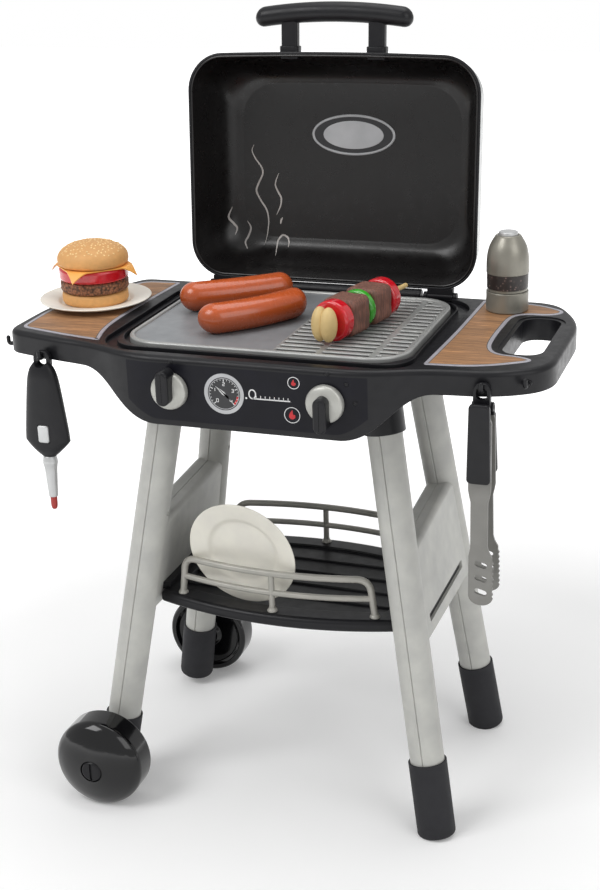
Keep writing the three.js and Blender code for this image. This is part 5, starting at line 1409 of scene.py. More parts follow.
@dataclass
class CookingPlate:
    """The silver plate: raised rim, smooth griddle at the left, bars at the right."""

    top: float = 462.2
    floor: float = 460.6
    seat: float = 452.0
    under: float = 455.0
    rim: float = 5.0
    griddle_end: float = 15.0
    bars: int = 17
    border: float = 7.0

    def reach(self, y: float, limit: float) -> float:
        """Gives how far right a slot may go at a Y."""
        outline = PLATE.grown(-self.border, 16)
        hits = []
        for i, (x0, y0) in enumerate(outline):
            x1, y1 = outline[(i + 1) % len(outline)]
            if (y0 - y) * (y1 - y) <= 0 and abs(y1 - y0) > 1e-9:
                hits.append(x0 + (x1 - x0) * (y - y0) / (y1 - y0))
        return min(limit, max(hits))

    def slots(self) -> list[tuple[float, float, float, float]]:
        """Gives the box of each slot between the bars."""
        edges = (self.griddle_end, 52.0, 58.0, 101.0, 107.0, 134.0)
        front, back = -99 + self.border, 102.6 - self.border
        pitch = (back - front) / self.bars
        out = []
        for i in range(self.bars):
            y = front + (i + 0.5) * pitch
            half = pitch * 0.25
            for bay in (0, 2, 4):
                x1 = min(self.reach(y - half, edges[bay + 1]), self.reach(y + half, edges[bay + 1]))
                if x1 - edges[bay] > 4:
                    out.append((edges[bay], x1, y - half, y + half))
        return out

    def shape(self) -> Shape:
        """Gives the whole plate: griddle is finish 0, bright rim and bars are finish 1, slot walls below the
        bars' edges are finish 2, a painted shade.
        """
        body = Shape()
        outer = [ring(PLATE.grown(0, 12), self.seat), ring(PLATE.grown(0, 12), self.top - 2)]
        for k in range(1, 6):
            angle = k / 5 * math.pi / 2
            outer.append(ring(
                PLATE.grown(-2 * (1 - math.cos(angle)), 12), self.top - 2 * (1 - math.sin(angle))
            ))
        outer += [ring(PLATE.grown(-3.4, 12), self.top), ring(PLATE.grown(-4.3, 12), self.top - 0.3),
                  ring(PLATE.grown(-4.8, 12), self.top - 1.0), ring(PLATE.grown(-self.rim, 12), self.floor)]
        body.loft(outer, 1, False, False)
        holes_top, holes_under = [], []
        for x0, x1, y0, y1 in self.slots():
            wide = rounded(x0 - 0.9, x1 + 0.9, y0 - 0.9, y1 + 0.9, 1.6, 3)
            narrow = rounded(x0, x1, y0, y1, 0.8, 3)
            middle = rounded(x0 - 0.35, x1 + 0.35, y0 - 0.35, y1 + 0.35, 1.1, 3)
            holes_top.append(ring(wide, self.floor))
            holes_under.append(ring(narrow, self.under))
            body.loft(
                [ring(wide, self.floor), ring(middle, self.floor - 0.4), ring(narrow, self.floor - 1.2)], 1,
                False, False
            )
            # Below the bars' rounded edges the slot walls take finish 2, a dark grey painted shade for the
            # gaps.
            body.loft([ring(narrow, self.floor - 1.2), ring(narrow, self.under)], 2, False, False)
        left = [(x, y) for x, y in PLATE.grown(-self.rim, 12) if x < self.griddle_end - 2]
        right = [(x, y) for x, y in PLATE.grown(-self.rim, 12) if x > self.griddle_end - 2]
        split = self.griddle_end - 2.0
        front, back = -99 + self.rim, 102.6 - self.rim
        left_loop = [(split, back), *left, (split, front)]
        right_start = [p for p in right if p[1] > 0]
        right_end = [p for p in right if p[1] <= 0]
        right_loop = [(split, front), *right_end, *right_start, (split, back)]
        body.flat(ring(left_loop, self.floor), (), 0)
        body.flat(ring(right_loop, self.floor), holes_top, 1)
        body.flat(ring(PLATE.grown(-self.rim, 12), self.under), holes_under, 1)
        body.loft([ring(PLATE.grown(-self.rim, 12), self.under), ring(PLATE.grown(-self.rim, 12), self.seat),
                   ring(PLATE.grown(0, 12), self.seat)], 1, False, False)
        return body

    def build(self) -> None:
        """Builds the plate."""
        placed("griddle_and_bars", self.shape(), "cooking_plate", [Skin.GRIDDLE, Skin.BARS, Skin.SEAM_AND_SLOT_SHADE],
               ["cooking_plate"], 40)


# ---------------------------------------------------------------- knobs and hooks

@dataclass
class Knobs:
    """Two domed dials with black levers, and the click parts behind the panel."""

    panel: float = -131.0
    radius: float = 17.0
    dome: float = 9.8
    shaft: float = 4.0
    tail: float = 20.0
    click_radius: float = 12.0
    click_tooth: float = 1.6
    click_bore: float = 4.3
    click_near: float = -6.0
    click_far: float = -10.0

    def place(self, x: float, turn: float) -> Matrix:
        """The move from a knob drawn on the floor to the panel."""
        return shifted(x, self.panel, KNOB_HEIGHT) @ spun(90, "X") @ spun(turn, "Z")

    def dial(self) -> Shape:
        """Gives a domed dial on its shaft."""
        rows = [(self.radius, 3), (16.66, 5.38), (14.96, 7.2), (10.2, 8.98), (5.1, 9.6), (0, self.dome)]
        dome = [(min(max(r, 0.0), self.radius), min(h, self.dome)) for r, h in curve(rows, 5)]
        shaft = [(0, -self.tail), (self.shaft, -self.tail), (self.shaft, 0.3)]
        return lathe([*shaft, (self.radius - 0.4, 0.3), (self.radius, 0.8), *dome[:-1], (0, self.dome)], 96)

    def lever(self) -> Shape:
        """Gives the finger lever across a dial."""
        outline = rounded(-6, 6, -9.5, 22, 6, 12)
        return Shape().pad(outline, 3.4, 20, 2.2, 0.5)

    def build(self) -> None:
        """Builds both knobs and what turns with them."""
        for side, x, turn in (("left", KNOB_LEFT, 0.0), ("right", KNOB_RIGHT, 180.0)):
            place = self.place(x, turn)
            body = f"knob_{side}"
            placed(
                f"{side}_dial", self.dial().moved(place), body, [Skin.DIAL], [f"knob_{side}_dial"],
                40
            )
            placed(f"{side}_lever", self.lever().moved(place), body, [Skin.BLACK], [f"knob_{side}_lever"],
                   40)
        teeth = []
        for i in range(24):
            radius, angle = self.click_radius - (self.click_tooth if i % 2 else 0), i * math.pi / 12
            teeth.append((radius * math.sin(angle), -radius * math.cos(angle)))
        place = self.place(KNOB_RIGHT, 180)
        near, far = self.click_near, self.click_far
        hollow, deep = (ring(circle(self.click_bore, 24), level) for level in (near, far))
        click = Shape().loft([ring(teeth, far), ring(teeth, near)], 0, False, False)
        click.flat(ring(teeth, near), [hollow]).flat(ring(teeth, far), [deep])
        click.loft([deep, hollow], 0, False, False)
        placed("click_wheel", click.moved(place), "knob_right", [Skin.BLACK], ["ratchet_wheel"], 30)
        foot = KNOB_HEIGHT - 20
        tongue = block(75.0, 76.0, -125, -121, foot + 0.4, KNOB_HEIGHT - 12.5, 0.2)
        tongue.join(block(72.5, 78.5, -125, -121, foot + 0.3, foot + 1.3, 0.2))
        placed("click_spring", tongue, "frame", [Skin.STEEL], ["click_tongue"], 40)


@dataclass
class Hooks:
    """Four bent hooks, each on a round flange."""

    outline: Loop
    wire: float = 2.0
    reach: float = 12.0

    def hook(self, root: Vector, turn: float = 0.0, drop: float = 0.0, tip: float = 8.0) -> Shape:
        """Gives one hook standing out from a point on the skirt."""
        route = bent([(0, 2, 0), (0, -self.reach, -drop), (0, -self.reach, tip - 1.4)], 4.2, 8)
        body = Shape().tube(route, self.wire, 24)
        body.ball((0, -self.reach, tip - 1.6), (2, 2, 1.8), 20)
        flange = lathe(soft_profile([(0, -2.5, 0), (3.4, -2.5, 0), (3.4, 1.4, 0.6), (0, 1.4, 0)]), 32)
        body.join(flange.moved(spun(90, "X")))
        return body.moved(Matrix.Translation(root) @ spun(turn, "Z"))

    def build(self) -> None:
        """Builds all four hooks."""
        rows = [("front_left", -209, 441.5), ("front_right", 207, 446.5), ("right_end", 241, 448)]
        for name, x, z in rows:
            root = Vector((x, crossing(self.outline, x), z))
            placed(f"{name}_hook", self.hook(root), "frame", [Skin.BLACK], [f"hook_{name}"], 40)
        root = Vector((min(x for x, y in self.outline if abs(y + 64) < 6), -64, 442))
        placed(
            "left_end_hook", self.hook(root, -90, 4, 4.5), "frame", [Skin.BLACK], ["hook_left_end"],
            40
        )


# ---------------------------------------------------------------- lower shelf and rails

@dataclass
class LowerShelf:
    """The bowed lower shelf with its recessed ribbed floor and two bent rails."""

    half: float = 121.6
    end_reach: float = 71.0
    bow: float = 21.0
    top: float = 198.0
    bottom: float = 186.0
    floor: float = 195.0

    def outline(self, shrink: float, end_shrink: float, corner: float) -> Loop:
        """Gives the shelf's outline, set in along its long and its short sides."""
        half = self.half - end_shrink
        steps = 40
        back = []
        for i in range(steps + 1):
            x = half * (1 - 2 * i / steps)
            back.append((x, self.end_reach + self.bow * (1 - (x / self.half) ** 2) - shrink))
        rows = [(*back[0], corner), *[(x, y, 0.01) for x, y in back[1:-1]], (*back[-1], corner)]
        rows += [(-x, -y, reach) for x, y, reach in rows]
        return self.trimmed(rows, corner)

    def trimmed(self, rows: list[tuple[float, float, float]], corner: float) -> Loop:
        """Rounds the four corners and drops the points that a corner takes up."""
        corners = [Vector(row[:2]) for row in rows if row[2] > 0.5]
        kept = [row for row in rows if row[2] > 0.5
                or all((Vector(row[:2]) - c).length > corner * 1.05 for c in corners)]
        return softened([(x, y, reach) for x, y, reach in kept], 6)

    def shape(self) -> Shape:
        """Gives the shelf in one body."""
        body = Shape()
        rings = []
        for k in range(5):
            angle = k / 4 * math.pi / 2
            rings.append(ring(
                inset(self.outline(0, 0, 6), 4 * (1 - math.sin(angle))),
                self.bottom + 4 * (1 - math.cos(angle))
            ))
        for k in range(5):
            angle = k / 4 * math.pi / 2
            rings.append(ring(
                inset(self.outline(0, 0, 6), 4.6 * (1 - math.cos(angle))),
                self.top - 4.6 * (1 - math.sin(angle))
            ))
        pocket = self.outline(22, 16, 8)
        edge_wide = ring(inset(pocket, -1.6), self.top)
        body.loft(rings, 0, True, False)
        body.flat(rings[-1], [edge_wide])
        walls = [ring(inset(pocket, -1.6 * (1 - math.sin(a))), self.top - 1.6 * (1 - math.cos(a)))
                 for a in (k / 4 * math.pi / 2 for k in range(5))]
        walls += [ring(pocket, self.floor + 1), ring(inset(pocket, 1), self.floor)]
        body.loft(walls, 0, False, True)
        pitch = 2 * (self.end_reach + self.bow - 22) / 5
        for i in range(4):
            y = (i + 1 - 2.5) * pitch
            half = self.half - 16.5
            shrink = 22
            reach = half
            for k in range(60):
                x = half * (1 - k / 60)
                if self.end_reach + self.bow * (1 - (x / self.half) ** 2) - shrink > abs(y) + 1.6:
                    reach = x
                    break
            section = [(y - 1.7, self.floor - 0.5), (y + 1.7, self.floor - 0.5), (y + 1.5, self.floor + 1.3),
                       (y + 0.8, self.floor + 2.2), (y - 0.8, self.floor + 2.2), (y - 1.5, self.floor + 1.3)]
            body.loft([[Vector((x, a, b)) for a, b in section] for x in (-reach, reach)])
        for x0, x1 in ((114.0, 147.0), (-147.0, -114.0)):
            body.join(block(x0, x1, -61.9, 61.3, 195.6, 203.0, 0.8))
        return body

    def rail(self) -> Shape:
        """Gives the front rail: a bowed bar with bent ends, a thinner bar, a middle post and three feet."""
        half, upper, top, base, bend = 97.5, 92.9, 237.0, self.top + GAP, 14.0

        def at(x: float, z: float) -> Vector:
            """Gives a point on the bowed rail."""
            return Vector((x, -(68.4 + 13.8 * (1 - (x / half) ** 2)), z))

        ends = [bent(
            [at(s * half, base), at(s * upper, top), at(s * (upper - bend), top)], bend * 0.92, 10
        ) for s in (-1, 1)]
        reach = upper - bend
        across = [at(reach * (2 * i / 40 - 1), top) for i in range(1, 40)]
        body = Shape().tube([*ends[0], *across, *ends[1][::-1]], 3.3, 24)
        body.join(Shape().tube([at(95.2 * (2 * i / 40 - 1), 217) for i in range(41)], 2.9, 20))
        body.join(rod(2.9, at(0, base), at(0, top), 20))
        for x in (-half, 0, half):
            foot = at(x, base)
            collar = soft_profile([(0, 0, 0), (5, 0, 0), (4.6, 1.6, 0.8), (3.7, 2.4, 1), (3.2, 4.0, 0)])
            body.join(lathe(collar, 32).moved(Matrix.Translation(foot)))
        return body

    def build(self) -> None:
        """Builds the shelf and both rails."""
        placed("shelf_tray", self.shape(), "frame", [Skin.BLACK], ["lower_shelf"], 38)
        placed("front_rail", self.rail(), "frame", [Skin.RAIL], ["rail_front"], 40)
        placed(
            "back_rail", self.rail().moved(spun(180, "Z")), "frame", [Skin.RAIL], ["rail_back"], 40
        )


# ---------------------------------------------------------------- plates and food

def dinner_plate() -> Shape:
    """Gives a plate about the Z axis with a wide flat rim and a stepped well."""
    return lathe(soft_profile([
        (0, 0.25, 0), (33.4, 0.25, 0.3), (34.2, 0, 0.3), (36, 0, 0.4), (37.4, 0.9, 0.8), (39.5, 2.9, 2.5),
        (52.6, 5.0, 3), (54.6, 6.0, 0.7), (55, 6.8, 0.5), (54.2, 7.4, 0.5), (52.4, 7.2, 1), (39, 5.2, 3),
        (36.6, 4.5, 1.2), (33.6, 2.2, 1.2), (31.5, 1.75, 1), (0, 1.75, 0),
    ], 5), 128)


@dataclass
class Dishes:
    """Two off-white plates: one on the side shelf, one leaning on the front rail."""

    sheet_top: float = 460.35
    radius: float = 55.0

    def build(self) -> None:
        """Builds both plates."""
        upper = dinner_plate().moved(shifted(-212, 17, self.sheet_top + GAP))
        placed("side_plate", upper, "plate_upper", [Skin.DISH], ["plate_upper"], 35)
        floor = 195 + GAP + 7.4 * math.sin(math.radians(10))
        place = shifted(-31, -57, floor) @ spun(-4, "Z") @ spun(100, "X") @ shifted(0, self.radius, 0)
        placed(
            "leaning_plate", dinner_plate().moved(place), "plate_lower", [Skin.DISH], ["plate_lower"],
            35
        )


@dataclass
class Burger:
    """A toy burger in five pieces on the side plate."""

    x: float = -212.0
    y: float = 17.0
    base: float = 460.65

    def bun_top(self, low: float) -> Shape:
        """Gives the domed upper bun with its sesame seeds."""
        rows = [(0, 0), (31.5, 0), (33.6, 0.9), (34.7, 3.4), (34.8, 6.6), (34.1, 9.6), (32.4, 12.5),
                (29.3, 15.5), (24.5, 18.4), (18.1, 20.8), (9.3, 22.1), (0.001, 22.4)]
        fine = [tuple(p) for p in curve(rows[1:], 4)]
        body = lathe([(0, 0), *[(max(r, 0), min(h, 22.4)) for r, h in fine[:-1]], (0, 22.4)], 80)
        wobbled(body, 0.25, 14, 3)
        picker = random.Random(7)
        spots: list[Vector] = []
        while len(spots) < 150:
            angle, share = picker.uniform(0, 2 * math.pi), math.sqrt(picker.uniform(0, 0.86))
            spot = Vector((34 * share * math.cos(angle), 34 * share * math.sin(angle), 0))
            if all((spot - other).length > 2.6 for other in spots):
                spots.append(spot)
        for spot in spots:
            radius = spot.length
            near = min(
                range(len(fine)), key=lambda i: abs(fine[i][0] - radius) + (30 if fine[i][1] < 8 else 0)
            )
            height = fine[near][1]
            slope = Vector((fine[max(near - 1, 0)][0] - fine[min(near + 1, len(fine) - 1)][0],
                            fine[min(near + 1, len(fine) - 1)][1] - fine[max(near - 1, 0)][1]))
            out = spot.normalized() if radius > 0.1 else Vector((1, 0, 0))
            normal = (out * max(slope.y, 0.0) + Vector((0, 0, max(slope.x, 1e-3)))).normalized()
            turn = normal.to_track_quat("Z", "Y").to_matrix().to_4x4() @ spun(picker.uniform(0, 180), "Z")
            seed = Shape().ball((0, 0, 0), (1.25, 0.8, 0.5), 8, 1)
            body.join(seed.moved(Matrix.Translation((spot.x, spot.y, height - 0.1)) @ turn))
        return body.moved(shifted(0, 0, low))

    def cheese(self, low: float) -> Shape:
        """Gives the square slice whose corners hang over the tomato."""
        half, thick, drop, count = 33.0, 1.0, 9.0, 36
        bend = 34.1 + 3.5
        far = half * math.sqrt(2) - bend

        def level(x: float, y: float) -> float:
            """Gives how far the sheet hangs down at a point."""
            over = max(math.hypot(x, y) - bend, 0) / far
            return drop * over ** 1.25

        body = Shape()
        for side, lift in ((0, 0.0), (1, thick)):
            points, faces = [], []
            for j in range(count + 1):
                for i in range(count + 1):
                    x, y = half * (2 * i / count - 1), half * (2 * j / count - 1)
                    points.append(Vector((x, y, lift - level(x, y))))
            for j in range(count):
                for i in range(count):
                    a = j * (count + 1) + i
                    face = (a, a + 1, a + count + 2, a + count + 1)
                    faces.append(face if side else face[::-1])
            body.add(points, faces)
        edge = [(i, 0) for i in range(count)] + [(count, j) for j in range(count)]
        edge += [(count - i, count) for i in range(count)] + [(0, count - j) for j in range(count)]
        layer = (count + 1) ** 2
        for (i0, j0), (i1, j1) in zip(edge, [*edge[1:], edge[0]]):
            a, b = j0 * (count + 1) + i0, j1 * (count + 1) + i1
            body.faces.append((a, b, b + layer, a + layer))
            body.slots.append(0)
        return body.moved(shifted(0, 0, low) @ spun(45, "Z"))

    def build(self) -> None:
        """Builds the five pieces from the plate up."""
        bottom = 2.0 + GAP
        patty = bottom + 12 + GAP
        tomato = patty + 11.4 + GAP
        cheese = tomato + 12 + GAP
        bun = cheese + 1 + GAP
        place = shifted(self.x, self.y, self.base)
        lower = lathe(soft_profile([(0, 0, 0), (32.4, 0, 4.5), (32.4, 12, 3.5), (0, 12, 0)], 8), 80)
        wobbled(lower, 0.2, 12, 1)
        placed("lower_bun", lower.moved(shifted(0, 0, bottom)).moved(place), "burger", [Skin.BUN],
               ["bun_bottom"], 60)
        rows = soft_profile([(0, 0, 0), (33.6, 0, 4), (33.6, 11.4, 4), (0, 11.4, 0)], 8)
        meat = lathe(rows, 120)
        meat.bowed(lambda p: self.lumpy(p, 5.7))
        placed("meat_patty", meat.moved(shifted(0, 0, patty)).moved(place), "burger", [Skin.PATTY], ["patty"],
               70)
        slice_rows = soft_profile([(0, 0, 0), (34.1, 0, 3), (34.1, 12, 3), (0, 12, 0)], 8)
        placed("tomato_slice", lathe(slice_rows, 96).moved(shifted(0, 0, tomato)).moved(place), "burger",
               [Skin.TOMATO], ["burger_tomato"], 60)
        placed("cheese_sheet", self.cheese(cheese).moved(place), "burger", [Skin.CHEESE], ["cheese_slice"],
               50)
        placed(
            "upper_bun", self.bun_top(bun).moved(place), "burger", [Skin.BUN, Skin.SEED], ["bun_top"],
            60
        )

    def lumpy(self, point: Vector, middle: float) -> Vector:
        """Pushes the patty's side in by small lumps."""
        radius = math.hypot(point.x, point.y)
        if radius < 28:
            return point
        angle = math.atan2(point.y, point.x)
        dent = 0.35 + 0.35 * math.sin(angle * 23) * math.cos((point.z - middle) * 0.9 + angle * 7)
        scale = 1 - dent / radius
        return Vector((point.x * scale, point.y * scale, point.z))


@dataclass
class Sausages:
    """Two bent sausages on the griddle."""

    floor: float = 460.6
    radius: float = 14.2
    length: float = 85.0

    def sausage(self, sag: float) -> Shape:
        """Gives a sausage along X, bulging towards -Y, with rounded ends."""
        reach = self.length / 2 + self.radius
        rings = []
        count = 48
        for i in range(count):
            x = -reach * math.cos((i + 0.5) * math.pi / count)
            over = max(abs(x) - self.length / 2, 0)
            size = math.sqrt(max(self.radius**2 - over**2, 0.01))
            y = -sag * (1 - (2 * x / self.length) ** 2)
            rings.append([Vector((x, y + size * math.cos(a), size * math.sin(a)))
                          for a in (2 * math.pi * k / 40 for k in range(40))])
        return Shape().loft(rings)

    def build(self) -> None:
        """Builds both sausages."""
        for name, x, y, turn, sag in (("rear", -69.1, 37.1, 38.0, 2.5), ("front", -28.6, -22.2, 51.8, 5.0)):
            place = shifted(x, y, self.floor + self.radius + GAP) @ spun(turn, "Z")
            placed(f"{name}_sausage", self.sausage(sag).moved(place), f"sausage_{name}", [Skin.SAUSAGE],
                   [f"sausage_{name}"], 60)


@dataclass
class Kebab:
    """Meat, pepper and tomato on a stick, lying on the bars."""

    x: float = 56.0
    y: float = -57.0
    turn: float = 76.8
    floor: float = 460.6
    slice_radius: float = 18.8
    slice_edge: float = 3.2
    bore: float = 2.6
    tomato: float = 13.0
    pepper: float = 9.0
    meat: float = 31.0
    meat_half: float = 17.0
    meat_corner: float = 6.5
    meat_edge: float = 3.5
    stick_radius: float = 2.3
    stick_end: float = 140.0
    bread: tuple[float, ...] = (9.0, 7.5, 16.0)

    def round_slice(self, start: float, width: float, radius: float) -> Shape:
        """Gives a round slice across the stick."""
        rows = soft_profile([
            (self.bore, start, 0), (radius, start, self.slice_edge), (radius, start + width, self.slice_edge),
            (self.bore, start + width, 0.3), (self.bore, start, 0),
        ], 7)
        return lathe(rows, 72).moved(spun(90, "Y"))

    def cube(self, start: float, seed: float) -> Shape:
        """Gives a browned block of meat with uneven faces."""
        body = Shape()
        half, edge = self.meat_half, self.meat_edge
        outline = spaced(rounded(-half, half, -half, half, self.meat_corner, 8), 2.5)
        rings = []
        count = 14
        for k in range(count + 1):
            along = k / count * self.meat
            near = min(along, self.meat - along)
            depth = edge - math.sqrt(max(edge**2 - (edge - min(near, edge)) ** 2, 0))
            rings.append([Vector((start + along, a, b)) for a, b in inset(outline, depth)])
        body.loft(rings)
        return body.bowed(lambda p: self.dented(p, start + self.meat / 2, seed))

    def dented(self, point: Vector, middle: float, seed: float) -> Vector:
        """Presses shallow hollows into a block of meat."""
        broad = math.sin(point.y * 0.33 + seed) * math.cos(point.z * 0.21 + seed * 2)
        wave = broad + math.sin(point.z * 0.5 + seed * 3) * 0.5
        inward = Vector((point.x - middle, point.y, point.z))
        return point - inward * (0.012 * (1.4 + wave))

    def build(self) -> None:
        """Builds the kebab from the cream end to the tip of the stick."""
        place = shifted(self.x, self.y, self.floor + self.slice_radius + GAP) @ spun(self.turn, "Z")
        starts = [0.0]
        for length in (self.tomato, self.meat, self.pepper, self.meat):
            starts.append(starts[-1] + length + GAP)
        stick = Shape()
        for s in (-0.5, 0.5):
            stick.ball((-GAP - self.bread[0], s * self.bread[0], 0), self.bread, 40)
        end = self.stick_end
        stick.join(rod(self.stick_radius, (-self.bread[0], 0, 0), (end, 0, 0), 24))
        tip = [(self.stick_radius, end), (1.6, end + 1.4), (0, end + 2)]
        stick.join(lathe(tip, 24).moved(spun(90, "Y")))
        placed("stick_and_bread", stick.moved(place), "kebab", [Skin.CREAM], ["kebab_stick"], 60)
        for name, node, at in (("near", "front", 0), ("far", "back", 4)):
            slice_ = self.round_slice(starts[at], self.tomato, self.slice_radius)
            placed(f"{name}_tomato", slice_.moved(place), "kebab", [Skin.TOMATO], [f"kebab_tomato_{node}"],
                   60)
        for name, node, at in (("near", "front", 1), ("far", "back", 3)):
            placed(f"{name}_meat", self.cube(starts[at], at * 1.7).moved(place), "kebab", [Skin.MEAT],
                   [f"kebab_meat_{node}"], 60)
        pepper = self.round_slice(starts[2], self.pepper, self.slice_radius - 1)
        placed("pepper_ring", pepper.moved(place), "kebab", [Skin.PEPPER], ["kebab_pepper"], 60)


@dataclass
class Mill:
    """A champagne-coloured pepper mill with a dark band, a domed top and a press button."""

    x: float = 185.5
    y: float = 85.6
    base: float = 460.65
    radius: float = 20.0
    join: float = 19.0

    def build(self) -> None:
        """Builds the base, the body with its band, and the button."""
        radius, join = self.radius, self.join
        place = shifted(self.x, self.y, self.base)
        foot = lathe(soft_profile([(0, 0, 0), (radius, 0, 1.2), (radius, join, 1.0), (0, join, 0)]), 96)
        placed("mill_foot", foot.moved(place), "mill_base", [Skin.MILL], ["mill_base"], 40)
        body = lathe(soft_profile([
            (0, 19.3, 0), (18.9, 19.3, 0.5), (18.9, 21.6, 0.3), (19.4, 21.8, 0.2), (19.4, 36.0, 0.2),
            (radius, 36.2, 0.5), (radius, 50.5, 9), (17.6, 62, 7), (11.7, 71.6, 2.0), (10.2, 72, 0.4),
            (9.3, 71.4, 0.5),
            (9.3, 66.2, 0), (0, 66.2, 0),
        ], 8), 96)
        band = lathe([(19.4, 22.0), (19.6, 22.3), (19.6, 35.6), (19.4, 35.9)], 96, 1)
        placed("mill_dome", body.join(band).moved(place), "mill_body", [Skin.MILL, Skin.LABEL], ["mill_body"],
               40)
        button = lathe(soft_profile([(0, 68.6, 0), (9, 68.6, 0.3), (9, 75, 1.6), (0, 75, 0)]), 64)
        placed("mill_press", button.moved(place), "mill_button", [Skin.STEEL], ["mill_button"], 40)


# ---------------------------------------------------------------- tools on the hooks

@dataclass
class Lighter:
    """The toy lighter: body with a loop, trigger, barrel and red tip."""

    outline: Loop
    x: float = -209.0
    shoulder: float = 22.5
    low: float = 346.0
    length: float = 91.0
    deep: float = 8.0
    loop: tuple[float, ...] = (-8.5, 8.5, 428.5, 448, 7.4)
    hole: tuple[float, ...] = (-5, 5, 434, 443.8, 4.3)
    window: tuple[float, ...] = (-5.9, 5.9, 360.7, 378.3, 1.4)
    button: tuple[float, ...] = (-5.5, 5.5, 361, 378, 2.2)
    hook_reach: float = 6.0
    loop_inward: float = 3.2

    def body(self) -> bpy.types.Mesh:
        """Gives the body with its loop, window and hole."""
        shares = [
            (0.32, 0), (0.55, 0.05), (0.95, 0.15), (1, 0.2), (0.93, 0.38), (0.72, 0.78), (0.56, 0.93),
            (0.36, 1)
        ]
        side = curve([(self.shoulder * a, self.low + b * self.length) for a, b in shares], 6)
        rings = []
        for half, height in side:
            deep = self.deep * min(half / 15, 1) ** 0.7
            turns = [(math.cos(a), math.sin(a)) for a in ((k + 0.5) * math.pi / 24 for k in range(48))]
            rings.append([Vector((half * math.copysign(abs(c) ** 0.8, c),
                                  deep * math.copysign(abs(s) ** 0.8, s), height)) for c, s in turns])
        form = Shape().loft(rings)
        loop = plank(rounded(*self.loop, 10), -3, 3, 1.0).moved(shifted(0, self.loop_inward, 0))
        hole = plank(rounded(*self.hole, 10), -14, 14)
        window = plank(rounded(*self.window, 6), -12, 1)
        cut = carved(form.mesh("form"), [hole, window])
        whole = united("lighter_form", (cut, 0), (carved(loop.mesh("loop"), [hole]), 0))
        whole.transform(Matrix.Translation(self.offset.translation * MM))
        return whole

    @property
    def offset(self) -> Matrix:
        """The move from the drawing to the hook."""
        return shifted(self.x, crossing(self.outline, self.x) - self.hook_reach - self.loop_inward, 0)

    def build(self) -> None:
        """Builds the lighter's pieces."""
        placed("lighter_shell", self.body(), "lighter", [Skin.BLACK], ["lighter_body"], 40)
        trigger = plank(rounded(*self.button, 8), -9.6, -2.3, 1.4, 0.2).moved(self.offset)
        placed("lighter_button", trigger, "lighter_trigger", [Skin.STEEL], ["lighter_trigger"], 40)
        barrel = lathe(soft_profile([
            (0, 304, 0), (4.3, 304, 0.6), (6, 333.7, 4), (7.4, 339.7, 2), (6, 345.7, 1), (2, 345.7, 0),
            (2, 356, 0), (0, 356, 0),
        ]), 48).moved(self.offset)
        placed("lighter_nose", barrel, "lighter", [Skin.STEEL], ["lighter_barrel"], 40)
        rows = [(0, 290.7, 0), (2.2, 290.9, 1), (3.2, 294.5, 2), (3.2, 303.7, 0.4), (0, 303.7, 0)]
        tip = lathe(soft_profile(rows), 40).moved(self.offset)
        placed("lighter_tip", tip, "lighter", [Skin.FLAME], ["lighter_flame"], 40)


